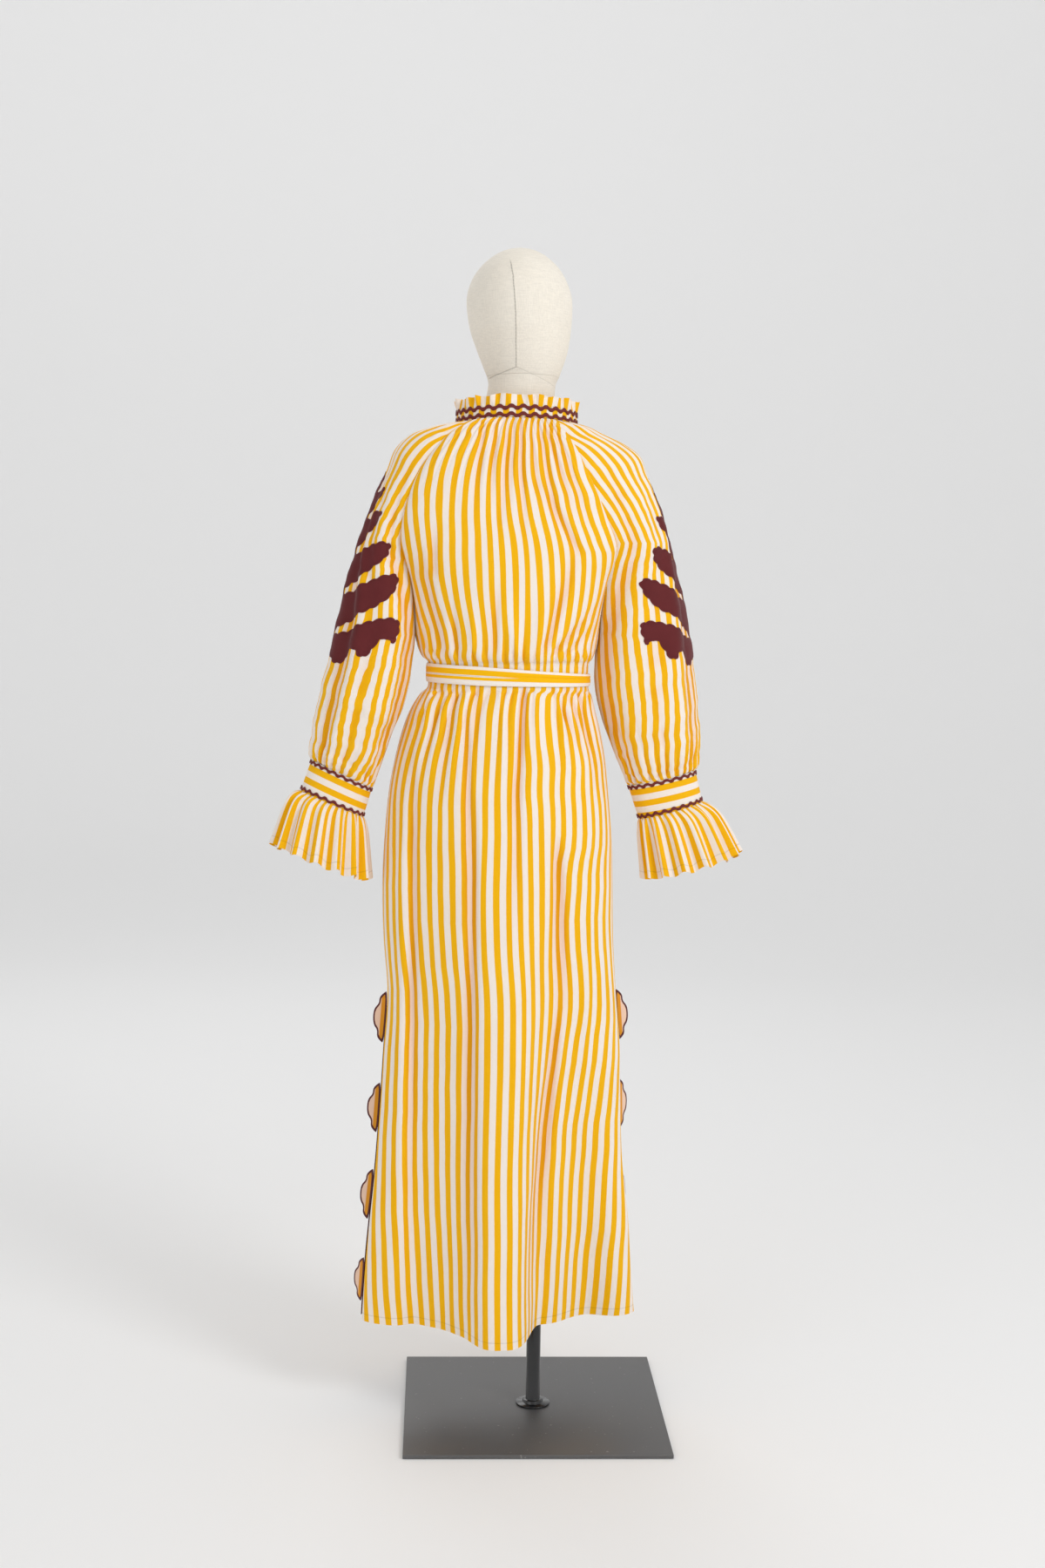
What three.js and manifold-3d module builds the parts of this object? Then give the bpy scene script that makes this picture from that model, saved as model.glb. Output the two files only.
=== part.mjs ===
// Long striped kaftan with raglan sleeves, worn by a limbless dress form on a stand.
// Millimetres, +Z up, the front faces -Y, the origin is on the floor under the pole.
import * as THREE from 'three';
import ManifoldModule from 'manifold-3d';

// Walls and seams
const CLOTH = 1.5;
const SEAM = 0.3;
const TRIM = 1.1;

// Gathers and ruffle waves
const NECK_GATHERS = 18;
const WAIST_GATHERS = 12;
const SLEEVE_GATHERS = 24;
const FLOUNCE_WAVES = 15;
const RUFFLE_WAVES = 22;
const NECK_RICRAC_WAVES = 32;
const CUFF_RICRAC_WAVES = 22;

// Neck opening
const NECK = { x: 47.5, y: -8, rx: 90.5, ry: 70, side: 1522.5, back: 5.5, front: 17, band: 15.5, ruffle: 18 };
const NECK_SEAMS = { backLeft: 35.7, backRight: 124.7, frontLeft: -40, frontRight: -140, slit: 1.5 };
const NECK_SLIT_ROW = 6;
const UNDERARM_ROW = 12;
const SLIT_ROW = 26;

// Stand
const PLATE = { side: 400, thick: 6, turn: -5.65 };
const POLE = { radius: 11, collar: 16, flange: 26.5, top: 869.6 };

// Colours
const STRIPED = 0xf0b43a;
const MAROON = 0x5e2326;
const LINEN = 0xe8e1d4;
const STEEL = 0x6a6b6c;
const BLACK = 0x111111;

// Back panel, neck to underarm: left seam, right seam, middle
const BACK_TOP = [
  // xl, yl, zl, xr, yr, zr, ym, zm
  [121, 33, 1521.5, -4, 50, 1526.5, 61, 1528],
  [139, 42, 1512, -10, 56, 1517, 70, 1519],
  [156, 49, 1501, -20, 61, 1503, 78, 1506],
  [172, 54, 1484, -32, 65, 1484, 84, 1488],
  [192, 56, 1459, -46, 68, 1457, 89, 1462],
  [205, 57, 1434, -57, 69, 1434, 92, 1437],
  [214, 56, 1410, -68, 69, 1410, 95, 1411],
  [222, 52, 1380, -81, 67, 1380, 98, 1380],
  [225, 45, 1345, -96, 60, 1345, 100, 1345],
  [218, 36, 1317, -95, 48, 1317, 100, 1317],
  [208, 25, 1288, -88, 33, 1288, 99, 1288],
  [201, 11, 1248, -83, 14, 1248, 98, 1248],
  [198, -6, 1205, -82, -6, 1210, 97, 1207],
];

// Front panel, neck to underarm: left seam, right seam, middle
const FRONT_TOP = [
  // xl, yl, zl, xr, yr, zr, ym, zm
  [117, -53, 1515, -22, -53, 1515, -78, 1505.5],
  [132, -61, 1506, -38, -61, 1506, -86, 1495],
  [147, -67, 1493, -53, -67, 1493, -93, 1483],
  [161, -73, 1475, -67, -73, 1475, -100, 1466],
  [177, -78, 1450, -83, -78, 1450, -106, 1443],
  [189, -80, 1426, -95, -80, 1426, -110, 1420],
  [199, -80, 1401, -105, -80, 1401, -113, 1396],
  [208, -76, 1372, -114, -76, 1372, -116, 1370],
  [212, -68, 1340, -118, -68, 1340, -118, 1340],
  [211, -57, 1313, -113, -57, 1313, -119, 1314],
  [206, -42, 1286, -104, -42, 1286, -119, 1287],
  [201, -24, 1248, -92, -24, 1248, -118, 1248],
  [198, -6, 1205, -82, -6, 1210, -116, 1207],
];

// Both panels below the underarm, one row for each level
const BODY_LOW = [
  // z, left x, right x, side y, half gap of the slit, back y, front y
  [1186, 193, -78, -6, 0.15, 94, -113],
  [1172, 186, -73, -6, 0.15, 89, -106],
  [1164, 177.5, -68, -6, 0.15, 81, -97],
  [1145, 177, -67.5, -6, 0.15, 80, -96],
  [1126, 177.5, -68, -6, 0.15, 81, -97],
  [1115, 189, -73, -6, 0.15, 87, -102],
  [1090, 204, -80, -7, 0.15, 95, -108],
  [1060, 215, -88, -8, 0.15, 102, -113],
  [1020, 225, -96, -9, 0.15, 108, -117],
  [970, 234, -102, -10, 0.15, 112, -120],
  [900, 240, -109, -11, 0.15, 113, -121],
  [823, 243, -112, -12, 0.15, 108, -120],
  [740, 240, -115, -13, 0.15, 98, -118],
  [660, 233, -121, -14, 0.3, 88, -116],
  [577, 238, -129, -15, 5, 78, -114],
  [516, 241, -131, -16, 7, 71, -112],
  [435, 246, -134, -18, 8, 63, -111],
  [379, 250, -138, -19, 9, 58, -110],
  [297, 258, -148, -20, 10, 53, -109],
  [237, 263, -153, -22, 11, 49, -108],
  [165, 267, -159, -24, 12, 46, -107],
  [145, 268, -161, -24, 12, 45, -107],
];

// Hanging folds, out of the panel when the depth is positive
const BACK_FOLDS = [
  // x at the top, z at the top, x at the hem, width left, width right, depth, how square it is
  [78, 1000, 66, 60, 53, 78, 3.2],
  [-14, 1080, 4, 17, 15, -13, 2],
  [-22, 1040, -78, 44, 40, -33, 2],
  [186, 1040, 190, 20, 22, -14, 2],
  [120, 1020, 116, 12, 12, -8, 2],
];
const FRONT_FOLDS = [
  // x at the top, z at the top, x at the hem, width left, width right, depth, how square it is
  [120, 1060, 158, 34, 34, 22, 2],
  [56, 1060, 50, 30, 30, -20, 2],
  [0, 1060, -56, 34, 34, 24, 2],
];

// Left sleeve: back seam, outer line, front seam, roundness, bulge of back and front
const SLEEVE_LEFT = [
  // xb, yb, zb, xo, yo, zo, xf, yf, zf, round, back, front
  [121, 33, 1521.5, 138, -8, 1522.3, 117, -53, 1515, 0, 0, 0],
  [139, 42, 1512, 160, -8, 1518, 132, -61, 1506, 0, 0, 0],
  [156, 49, 1501, 181, -8, 1513, 147, -67, 1493, 0, 0, 0],
  [172, 54, 1484, 209, -8, 1502, 161, -73, 1475, 0, 0, 0],
  [192, 56, 1459, 230, -8, 1480, 177, -78, 1450, 0, 0, 0],
  [205, 57, 1434, 241, -8, 1450, 189, -80, 1426, 0, 0, 0],
  [214, 56, 1410, 252, -8, 1424, 199, -80, 1401, 0, 0, 0],
  [222, 52, 1380, 265, -8, 1390, 208, -76, 1372, 0.05, 4, 2],
  [225, 45, 1345, 279, -8, 1348, 212, -68, 1340, 0.15, 12, 8],
  [218, 36, 1317, 288, -8, 1316, 211, -57, 1313, 0.3, 22, 18],
  [208, 25, 1288, 297, -8, 1285, 206, -42, 1286, 0.5, 36, 32],
  [201, 11, 1248, 305, -8, 1247, 201, -24, 1248, 0.78, 52, 48],
  [198, -6, 1205, 315, -8, 1200, 198, -6, 1205, 1, 66, 64],
  [201, -8, 1168, 324, -9, 1162, 201, -8, 1168, 1, 68, 66],
  [206, -8, 1130, 333, -10, 1128, 206, -8, 1130, 1, 68, 66],
  [215, -9, 1093, 340, -10, 1098, 215, -9, 1093, 1, 66, 64],
  [230, -10, 1058, 346, -11, 1068, 230, -10, 1058, 1, 60, 58],
  [243, -10, 1022, 350, -12, 1043, 243, -10, 1022, 1, 50, 50],
  [254, -11, 992, 352, -12, 1026, 254, -11, 992, 1, 40, 40],
  [260, -11, 973.3, 351, -12, 1015.3, 260, -11, 973.3, 1, 31, 31],
];

// Right sleeve, the same columns
const SLEEVE_RIGHT = [
  // xb, yb, zb, xo, yo, zo, xf, yf, zf, round, back, front
  [-4, 50, 1526.5, -43, -8, 1522.3, -22, -53, 1515, 0, 0, 0],
  [-10, 56, 1517, -64, -8, 1517, -38, -61, 1506, 0, 0, 0],
  [-20, 61, 1503, -86, -8, 1508, -53, -67, 1493, 0, 0, 0],
  [-32, 65, 1484, -119, -8, 1494, -67, -73, 1475, 0, 0, 0],
  [-46, 68, 1457, -143, -8, 1477, -83, -78, 1450, 0, 0, 0],
  [-57, 69, 1434, -154, -8, 1450, -95, -80, 1426, 0, 0, 0],
  [-68, 69, 1410, -166, -8, 1424, -105, -80, 1401, 0, 0, 0],
  [-81, 67, 1380, -179, -8, 1390, -114, -76, 1372, 0.05, 3, 2],
  [-96, 60, 1345, -191, -8, 1348, -118, -68, 1340, 0.15, 10, 8],
  [-95, 48, 1317, -199, -8, 1316, -113, -57, 1313, 0.3, 20, 18],
  [-88, 33, 1288, -207, -8, 1285, -104, -42, 1286, 0.5, 34, 32],
  [-83, 14, 1248, -217, -8, 1247, -92, -24, 1248, 0.78, 52, 48],
  [-82, -6, 1210, -225, -8, 1202, -82, -6, 1210, 1, 68, 66],
  [-79, -8, 1168, -231, -9, 1165, -79, -8, 1168, 1, 70, 68],
  [-80, -8, 1130, -236, -10, 1128, -80, -8, 1130, 1, 70, 68],
  [-88, -9, 1093, -239, -10, 1095, -88, -9, 1093, 1, 68, 66],
  [-101, -10, 1058, -242, -11, 1063, -101, -10, 1058, 1, 62, 60],
  [-116, -10, 1022, -243, -12, 1035, -116, -10, 1022, 1, 52, 50],
  [-129, -11, 995, -241, -12, 1013, -129, -11, 995, 1, 40, 40],
  [-135, -11, 978.3, -239, -12, 1002.3, -135, -11, 978.3, 1, 31, 31],
];

// Cuffs and flounces: inner side, outer side and half depth, top to bottom
const CUFF_LEFT = [
  // xi, zi, xo, zo, half depth
  [260, 973, 351, 1015, 31],
  [273, 929, 367, 969, 31],
];
const CUFF_RIGHT = [
  // xi, zi, xo, zo, half depth
  [-135, 978, -239, 1002, 31],
  [-153, 926, -251, 954, 31],
];
const FLOUNCE_LEFT = [
  // xi, zi, xo, zo, half depth
  [273, 928.7, 367, 968.7, 31],
  [269, 906, 386, 953, 43],
  [266, 840, 407, 892, 58],
];
const FLOUNCE_RIGHT = [
  // xi, zi, xo, zo, half depth
  [-153, 925.7, -251, 953.7, 31],
  [-154, 903, -278, 933, 43],
  [-163, 841, -309, 880, 58],
];

// Dress form, rings from the pelvis to the top of the head
const TORSO = [
  // z, centre x, half width, centre y, half depth
  [870, 62, 140, -6, 84],
  [910, 62, 164, -6, 103],
  [950, 62, 162, -6, 103],
  [1000, 61, 152, -6, 98],
  [1100, 57, 122, -6, 82],
  [1145, 55, 112, -6, 75],
  [1190, 56, 118, -6, 80],
  [1320, 52, 139, -7, 92],
  [1385, 50, 149, -8, 86],
  [1430, 49, 156, -8, 74],
  [1460, 48, 157, -8, 62],
  [1482, 48, 158, -8, 54],
  [1495, 48, 144, -8, 48],
  [1508, 48, 122, -8, 46],
  [1517.3, 48, 103, -8, 44],
  [1519, 48, 80, -8, 46],
  [1526, 47, 58, -8, 50],
  [1575, 41, 50.5, -9, 52],
  [1592, 39, 54, -10, 56],
];
const HEAD = [
  // z, centre x, half width, centre y, half depth
  [1592.3, 39, 54, -10, 56],
  [1612, 39, 61.5, -13, 68],
  [1635, 40, 69, -16, 81],
  [1665, 43, 76, -17, 92],
  [1705, 45, 79, -18, 97],
  [1732, 46, 72, -18, 91],
  [1752, 46, 60, -17, 77],
  [1768, 46, 43, -16, 56],
  [1778, 46, 25, -15, 33],
  [1783, 46, 6, -15, 8],
];

// Leaf branch sewn on each sleeve: right half of its outline, from the top down
const BRANCH = [
  // out from the stem, down from the shoulder end
  [0, 0], [9, 18], [3.5, 42], [38, 24], [30, 52], [3.5, 70], [3.5, 84], [54, 58], [48, 90],
  [3.5, 122], [3.5, 138], [82, 104], [76, 150], [3.5, 186], [3.5, 202], [110, 154], [104, 206],
  [3.5, 248], [3.5, 262], [124, 220], [126, 278], [104, 256], [84, 300], [60, 268], [36, 308],
];
const BRANCH_END = [0, 280];
const BRANCH_ROWS = { 5: 0, 6: 28, 7: 64, 8: 108, 9: 141, 10: 173, 11: 212, 12: 260, 13: 299, 14: 334 };

const wasm = await ManifoldModule();
wasm.setup();

const mix = (a, b, t) => a + (b - a) * t;
const clamp = (x, lo, hi) => Math.min(hi, Math.max(lo, x));
const vec = (x, y, z) => new THREE.Vector3(x, y, z);
const radians = (deg) => deg * Math.PI / 180;

// Smooth row of a table at a real row number
function rowAt(table, row) {
  const last = table.length - 1;
  const i = clamp(Math.floor(row), 0, last - 1);
  const t = clamp(row - i, 0, 1);
  const p = table[Math.max(i - 1, 0)];
  const a = table[i];
  const b = table[i + 1];
  const q = table[Math.min(i + 2, last)];
  return a.map((value, k) => {
    const ma = (b[k] - p[k]) / 2;
    const mb = (q[k] - value) / 2;
    const t2 = t * t;
    const t3 = t2 * t;
    return value * (2 * t3 - 3 * t2 + 1) + ma * (t3 - 2 * t2 + t)
      + b[k] * (3 * t2 - 2 * t3) + mb * (t3 - t2);
  });
}

// Cloth wall from rows of surface points, each with its wall direction
class Sheet {
  constructor(thick) {
    this.thick = thick;
    this.points = [];
    this.dirs = [];
    this.found = new Map();
    this.faces = [];
  }

  vertex(point, dir) {
    const key = point.toArray().map((x) => Math.round(x * 200)).join(' ');
    if (!this.found.has(key)) {
      this.found.set(key, this.points.length);
      this.points.push(point);
      this.dirs.push(dir);
    }
    return this.found.get(key);
  }

  face(a, b, c, sign) {
    if (a === b || b === c || a === c) {
      return;
    }
    this.faces.push(sign > 0 ? [a, b, c] : [a, c, b]);
  }

  // Join two rows that may have different numbers of columns
  strip(upper, lower, sign) {
    let i = 0;
    let j = 0;
    while (i < upper.length - 1 || j < lower.length - 1) {
      const next = i < upper.length - 1 ? upper[i + 1].u : 2;
      const below = j < lower.length - 1 ? lower[j + 1].u : 2;
      if (next <= below + 1e-9) {
        this.face(upper[i].id, upper[i + 1].id, lower[j].id, sign);
        i += 1;
      } else {
        this.face(upper[i].id, lower[j + 1].id, lower[j].id, sign);
        j += 1;
      }
    }
  }

  geometry() {
    const n = this.points.length;
    const flat = [];
    this.points.forEach((p) => flat.push(p.x, p.y, p.z));
    this.points.forEach((p, i) => {
      const q = p.clone().addScaledVector(this.dirs[i], -this.thick);
      flat.push(q.x, q.y, q.z);
    });
    const index = [];
    const edges = new Map();
    for (const [a, b, c] of this.faces) {
      index.push(a, b, c, a + n, c + n, b + n);
      for (const [from, to] of [[a, b], [b, c], [c, a]]) {
        edges.set(`${from} ${to}`, [from, to]);
      }
    }
    for (const [from, to] of edges.values()) {
      if (!edges.has(`${to} ${from}`)) {
        index.push(to, from, from + n, to, from + n, to + n);
      }
    }
    const geometry = new THREE.BufferGeometry();
    geometry.setAttribute('position', new THREE.Float32BufferAttribute(flat, 3));
    geometry.setIndex(index);
    geometry.computeVertexNormals();
    return geometry;
  }
}

function named(name, geometry, colour, metal = 0, rough = 0.8) {
  const material = new THREE.MeshStandardMaterial({ color: colour, metalness: metal, roughness: rough });
  const mesh = new THREE.Mesh(geometry, material);
  mesh.name = name;
  return mesh;
}

// Direction square to a surface, from small steps along both of its ways
function squareTo(surface, u, row, rows, wrap, sign) {
  const e = 0.004;
  const h = 0.03;
  const ahead = wrap ? surface((u + e) % 1, row) : surface(Math.min(u + e, 1), row);
  const behind = wrap ? surface((u - e + 1) % 1, row) : surface(Math.max(u - e, 0), row);
  const below = surface(u, Math.min(row + h, rows));
  const above = surface(u, Math.max(row - h, 0));
  return ahead.sub(behind).cross(below.sub(above)).normalize().multiplyScalar(sign);
}

// Neck opening at an angle, moved up and out
function neckPoint(deg, up, out) {
  const c = Math.cos(radians(deg));
  const s = Math.sin(radians(deg));
  const z = NECK.side + (s > 0 ? NECK.back : -NECK.front) * s * s;
  return vec(NECK.x + (NECK.rx + out) * c, NECK.y + (NECK.ry + out) * s, z + up);
}

// Body panels: the share of the width at u, crowded towards the sides
const share = (u) => 0.55 * u + 0.225 * (1 - Math.cos(Math.PI * u));

function foldDepth(folds, x, z) {
  let depth = 0;
  for (const [xTop, zTop, xHem, left, right, amount, square] of folds) {
    const t = clamp((zTop - z) / (zTop - 145), 0, 1);
    const off = x - mix(xTop, xHem, t);
    const width = off > 0 ? left : right;
    depth += amount * t ** 1.3 * Math.exp(-(Math.abs(off / width) ** square));
  }
  return depth;
}

// Panel surface: face is 1 for the back and -1 for the front
function panelPoint(face, u, row) {
  const m = share(u);
  const arch = Math.sqrt(clamp(1 - (1 - 2 * m) ** 2, 0, 1));
  if (row <= UNDERARM_ROW) {
    const table = face > 0 ? BACK_TOP : FRONT_TOP;
    const [xl, yl, zl, xr, yr, zr, ym, zm] = rowAt(table, row);
    const y = mix(yl, yr, m);
    const z = mix(zl, zr, m);
    const point = vec(mix(xl, xr, m), y + (ym - y) * arch, z + (zm - z) * arch);
    if (row < 1) {
      const from = face > 0 ? NECK_SEAMS.backLeft : NECK_SEAMS.frontLeft;
      const to = face > 0 ? NECK_SEAMS.backRight : NECK_SEAMS.frontRight;
      point.lerp(neckPoint(mix(from, to, u), -0.9, 0), (1 - row) ** 2);
    }
    return point;
  }
  const first = [1206, 198, -82, -6, 0.15, 97, -116];
  const [z, xl, xr, ys, gap, yb, yf] = rowAt([first, ...BODY_LOW], row - UNDERARM_ROW);
  const x = mix(xl, xr, m);
  const side = ys + face * gap;
  const folds = face > 0 ? BACK_FOLDS : FRONT_FOLDS;
  const depth = foldDepth(folds, x, z) * Math.min(1, arch * 1.6);
  const flat = 1 + (face > 0 ? 0.15 : 0.8) * clamp((700 - z) / 150, 0, 1);
  const droop = 0.1 * Math.max(depth, 0) * clamp((500 - z) / 355, 0, 1);
  return vec(x, side + (face > 0 ? yb - side : yf - side) * arch ** flat + face * depth, z - droop);
}

// Sleeve surface from its table, u runs from the back seam over the outer line
function sleevePoint(table, side, u, row) {
  const [xb, yb, zb, xo, yo, zo, xf, yf, zf, round, back, front] = rowAt(table, row);
  const behind = u < 0.5;
  const [xs, ys, zs, bulge] = behind ? [xb, yb, zb, back] : [xf, yf, zf, -front];
  const a = (behind ? u : 1 - u) * Math.PI;
  const reach = mix(Math.sin(a), (1 - Math.cos(2 * a)) / 2, round);
  const fall = mix(Math.cos(a), (1 + Math.cos(2 * a)) / 2, round);
  const point = vec(mix(xs, xo, reach), mix(yo, ys, fall) + bulge * Math.sin(2 * a), mix(zs, zo, reach));
  if (row < 1) {
    const seams = side > 0 ? [NECK_SEAMS.backLeft, 0, NECK_SEAMS.frontLeft]
      : [NECK_SEAMS.backRight, 180, 360 + NECK_SEAMS.frontRight];
    const deg = behind ? mix(seams[0], seams[1], 2 * u) : mix(seams[1], seams[2], 2 * u - 1);
    point.lerp(neckPoint(deg, -0.9, 0), (1 - row) ** 2);
  }
  return point;
}

const LOW_ROWS = UNDERARM_ROW + BODY_LOW.length;
const SLEEVE_ROWS = SLEEVE_LEFT.length - 1;
const backSurface = (u, row) => panelPoint(1, u, row);
const frontSurface = (u, row) => panelPoint(-1, u, row);
const leftSurface = (u, row) => sleevePoint(SLEEVE_LEFT, 1, u, row);
const rightSurface = (u, row) => sleevePoint(SLEEVE_RIGHT, -1, u, row);

function panelDir(face, u, row) {
  const surface = face > 0 ? backSurface : frontSurface;
  return squareTo(surface, u, row, LOW_ROWS, false, -face);
}

function sleeveDir(side, u, row) {
  const surface = side > 0 ? leftSurface : rightSurface;
  return squareTo(surface, u, row, SLEEVE_ROWS, row > UNDERARM_ROW - 0.5, side);
}

// Wall direction along a raglan seam, shared by both walls down to the armhole
function seamDir(own, other, row) {
  const shared = own.clone().add(other).normalize();
  return shared.lerp(own, clamp((row - 7) / 3, 0, 1)).normalize();
}

// Step from a seam into its own panel, square to the seam
function intoPanel(surface, u, row, last) {
  const here = surface(u, row);
  const along = surface(u, Math.min(row + 0.1, last)).sub(surface(u, Math.max(row - 0.1, 0))).normalize();
  const step = surface(u < 0.5 ? 0.03 : 0.97, row).sub(here);
  step.addScaledVector(along, -step.dot(along));
  return step.setLength(SEAM / 2);
}

// A zigzag that is 1 and -1 on alternate columns
const zigzag = (u, waves) => Math.cos(2 * Math.PI * waves * u);

// Leaf shaped lobe on the slit edge of the front, as share of height and reach
const LOBE = [
  // height, reach
  [0.04, 0.3], [0.13, 0.62], [0.24, 0.6], [0.33, 0.92], [0.44, 1], [0.56, 0.98], [0.66, 0.88],
  [0.75, 0.58], [0.87, 0.6], [0.96, 0.3],
];

function addLobe(sheet, upper, lower, side, reach) {
  const a = sheet.points[upper];
  const b = sheet.points[lower];
  const dir = sheet.dirs[upper];
  const outline = [new THREE.Vector2(0, 0)];
  LOBE.forEach(([height, out]) => outline.push(new THREE.Vector2(height, out)));
  outline.push(new THREE.Vector2(1, 0));
  const ids = outline.map((q, i) => {
    if (i === 0) {
      return upper;
    }
    if (i === outline.length - 1) {
      return lower;
    }
    const point = a.clone().lerp(b, q.x);
    point.x += side * reach * q.y;
    point.y -= 0.25 * reach * q.y;
    return sheet.vertex(point, dir);
  });
  const faces = THREE.ShapeUtils.triangulateShape(outline, []);
  faces.forEach(([p, q, r]) => {
    const [first, second, third] = [p, q, r].map((i) => sheet.points[ids[i]].clone());
    const facing = second.sub(first).cross(third.sub(first)).y;
    sheet.face(ids[p], ids[q], ids[r], facing < 0 ? 1 : -1);
  });
}

const TOP_ROWS = [0, 1, 2, 3, 4, 6, 8, 9, 10, 11, 12];
const BACK_ROWS = [...TOP_ROWS, 13, 14, 15, 17, 18, 19, 20, 21, 22, 24, 26, 28, 30, 32, 34];
const FRONT_ROWS = [...TOP_ROWS, 13, 14, 15, 17, 18, 19, 20, 22, 24, 26, 27, 28, 29, 30, 31, 32, 33, 34];
const NECK_FADE = [0.35, 0.95, 0.7, 0.3];
const WAIST_FADE = { 13: 0.5, 14: 1, 15: 0, 16: 0, 17: 0, 18: 1, 19: 0.8, 20: 0.5, 21: 0.2 };

function panel(name, face) {
  const surface = face > 0 ? backSurface : frontSurface;
  const rows = face > 0 ? BACK_ROWS : FRONT_ROWS;
  const plain = face > 0 ? 24 : 16;
  const waist = face > 0 ? WAIST_GATHERS : 8;
  const sheet = new Sheet(CLOTH);
  const halves = face > 0 ? [[0, 1]] : [[0, 0.5], [0.5, 1]];
  for (const [from, to] of halves) {
    let above = null;
    for (const row of rows) {
      const gathered = row < NECK_FADE.length;
      const n = (gathered ? 2 * NECK_GATHERS : plain) * (to - from);
      const ids = [];
      for (let j = 0; j <= n; j += 1) {
        const u = mix(from, to, j / n);
        const point = surface(u, row);
        const inside = face < 0 && u > 0 && u < 1;
        let dir = panelDir(face, u, inside ? Math.max(row, 0.5) : row);
        if (row <= UNDERARM_ROW && (u === 0 || u === 1)) {
          dir = seamDir(dir, sleeveDir(u === 0 ? 1 : -1, face > 0 ? 0 : 1, row), row);
          point.add(intoPanel(surface, u, row, UNDERARM_ROW));
        }
        if (row === UNDERARM_ROW && (u === 0 || u === 1)) {
          point.y += face * SEAM / 2;
        }
        if (face < 0 && row >= SLIT_ROW && (u === 0 || u === 1)) {
          dir = vec(0, -1, 0);
          point.y -= CLOTH;
        }
        const beside = face < 0 ? Math.min(u, 1 - u, Math.abs(u - 0.5)) : Math.min(u, 1 - u);
        const edge = Math.min(1, 12 * beside);
        const wave = gathered ? 1.8 * NECK_FADE[row] * zigzag(u, NECK_GATHERS)
          : 2.2 * (WAIST_FADE[row] || 0) * zigzag(u, waist);
        point.addScaledVector(dir, wave * edge);
        if (face < 0 && u === 0.5 && row < NECK_SLIT_ROW) {
          point.x += (from === 0 ? 1 : -1) * 2 * (1 - row / NECK_SLIT_ROW);
        }
        ids.push({ id: sheet.vertex(point, dir), u, row });
      }
      if (above) {
        sheet.strip(above, ids, -face);
        const lobed = row === 27 || row === 29 || row === 31 || row === 33;
        if (face < 0 && lobed) {
          const end = from === 0 ? 0 : n;
          addLobe(sheet, above[end].id, ids[end].id, from === 0 ? 1 : -1, 20);
        }
      }
      above = ids;
    }
  }
  return named(name, sheet.geometry(), STRIPED);
}

const SLEEVE_GATHER_DEPTH = { 17: 2.4, 18: 3.2, 19: 1.2 };

// Wall of a sleeve, lifted off the cloth for the branch that lies on it
function sleeveWall(side, lift, thick) {
  const surface = side > 0 ? leftSurface : rightSurface;
  const sheet = new Sheet(thick);
  const rows = [...TOP_ROWS, 13, 14, 15, 16, 17, 18, 19];
  let above = null;
  for (const row of rows) {
    const closed = row >= UNDERARM_ROW;
    const columns = row > 16 ? 2 * SLEEVE_GATHERS : row > 10 ? 20 : 12;
    const ids = [];
    for (let j = 0; j <= columns; j += 1) {
      const u = j / columns;
      const end = j === 0 || j === columns;
      let dir = sleeveDir(side, closed && end ? 0 : u, row);
      const point = surface(closed && end ? 0 : u, row);
      if (end && !closed) {
        const face = j === 0 ? 1 : -1;
        dir = seamDir(dir, panelDir(face, side > 0 ? 0 : 1, row), row);
        point.add(intoPanel(surface, u, row, UNDERARM_ROW));
      }
      if (row === UNDERARM_ROW && end) {
        point.x += side * SEAM;
      }
      const depth = SLEEVE_GATHER_DEPTH[row] || 0;
      point.addScaledVector(dir, lift + depth * zigzag(u, SLEEVE_GATHERS));
      ids.push({ id: sheet.vertex(point, dir), u });
    }
    if (above) {
      sheet.strip(above, ids, side);
    }
    above = ids;
  }
  return sheet.geometry();
}

function toSolid(geometry) {
  const mesh = new wasm.Mesh({
    numProp: 3,
    vertProperties: geometry.attributes.position.array,
    triVerts: new Uint32Array(geometry.index.array),
  });
  return new wasm.Manifold(mesh);
}

function fromSolid(solid) {
  const mesh = solid.getMesh();
  const geometry = new THREE.BufferGeometry();
  geometry.setAttribute('position', new THREE.BufferAttribute(mesh.vertProperties, 3));
  geometry.setIndex(new THREE.BufferAttribute(mesh.triVerts, 1));
  geometry.computeVertexNormals();
  return geometry;
}

// Row of the sleeve at a distance down the branch
function branchRow(down) {
  for (let row = 5; row < 14; row += 1) {
    const start = BRANCH_ROWS[row];
    const end = BRANCH_ROWS[row + 1];
    if (down <= end) {
      return row + (down - start) / (end - start);
    }
  }
  return 14;
}

// Distance round the sleeve at a row, from its outer line to u
function roundSleeve(surface, row, u) {
  let length = 0;
  let last = surface(0.5, row);
  for (let i = 1; i <= 12; i += 1) {
    const next = surface(mix(0.5, u, i / 12), row);
    length += next.distanceTo(last);
    last = next;
  }
  return length;
}

// Place on the sleeve for a branch point, found by halving
function branchPlace(surface, out, row) {
  const end = out > 0 ? 0.03 : 0.97;
  let near = 0.5;
  let far = end;
  for (let i = 0; i < 14; i += 1) {
    const middle = (near + far) / 2;
    if (roundSleeve(surface, row, middle) < Math.abs(out)) {
      near = middle;
    } else {
      far = middle;
    }
  }
  return near;
}

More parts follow.
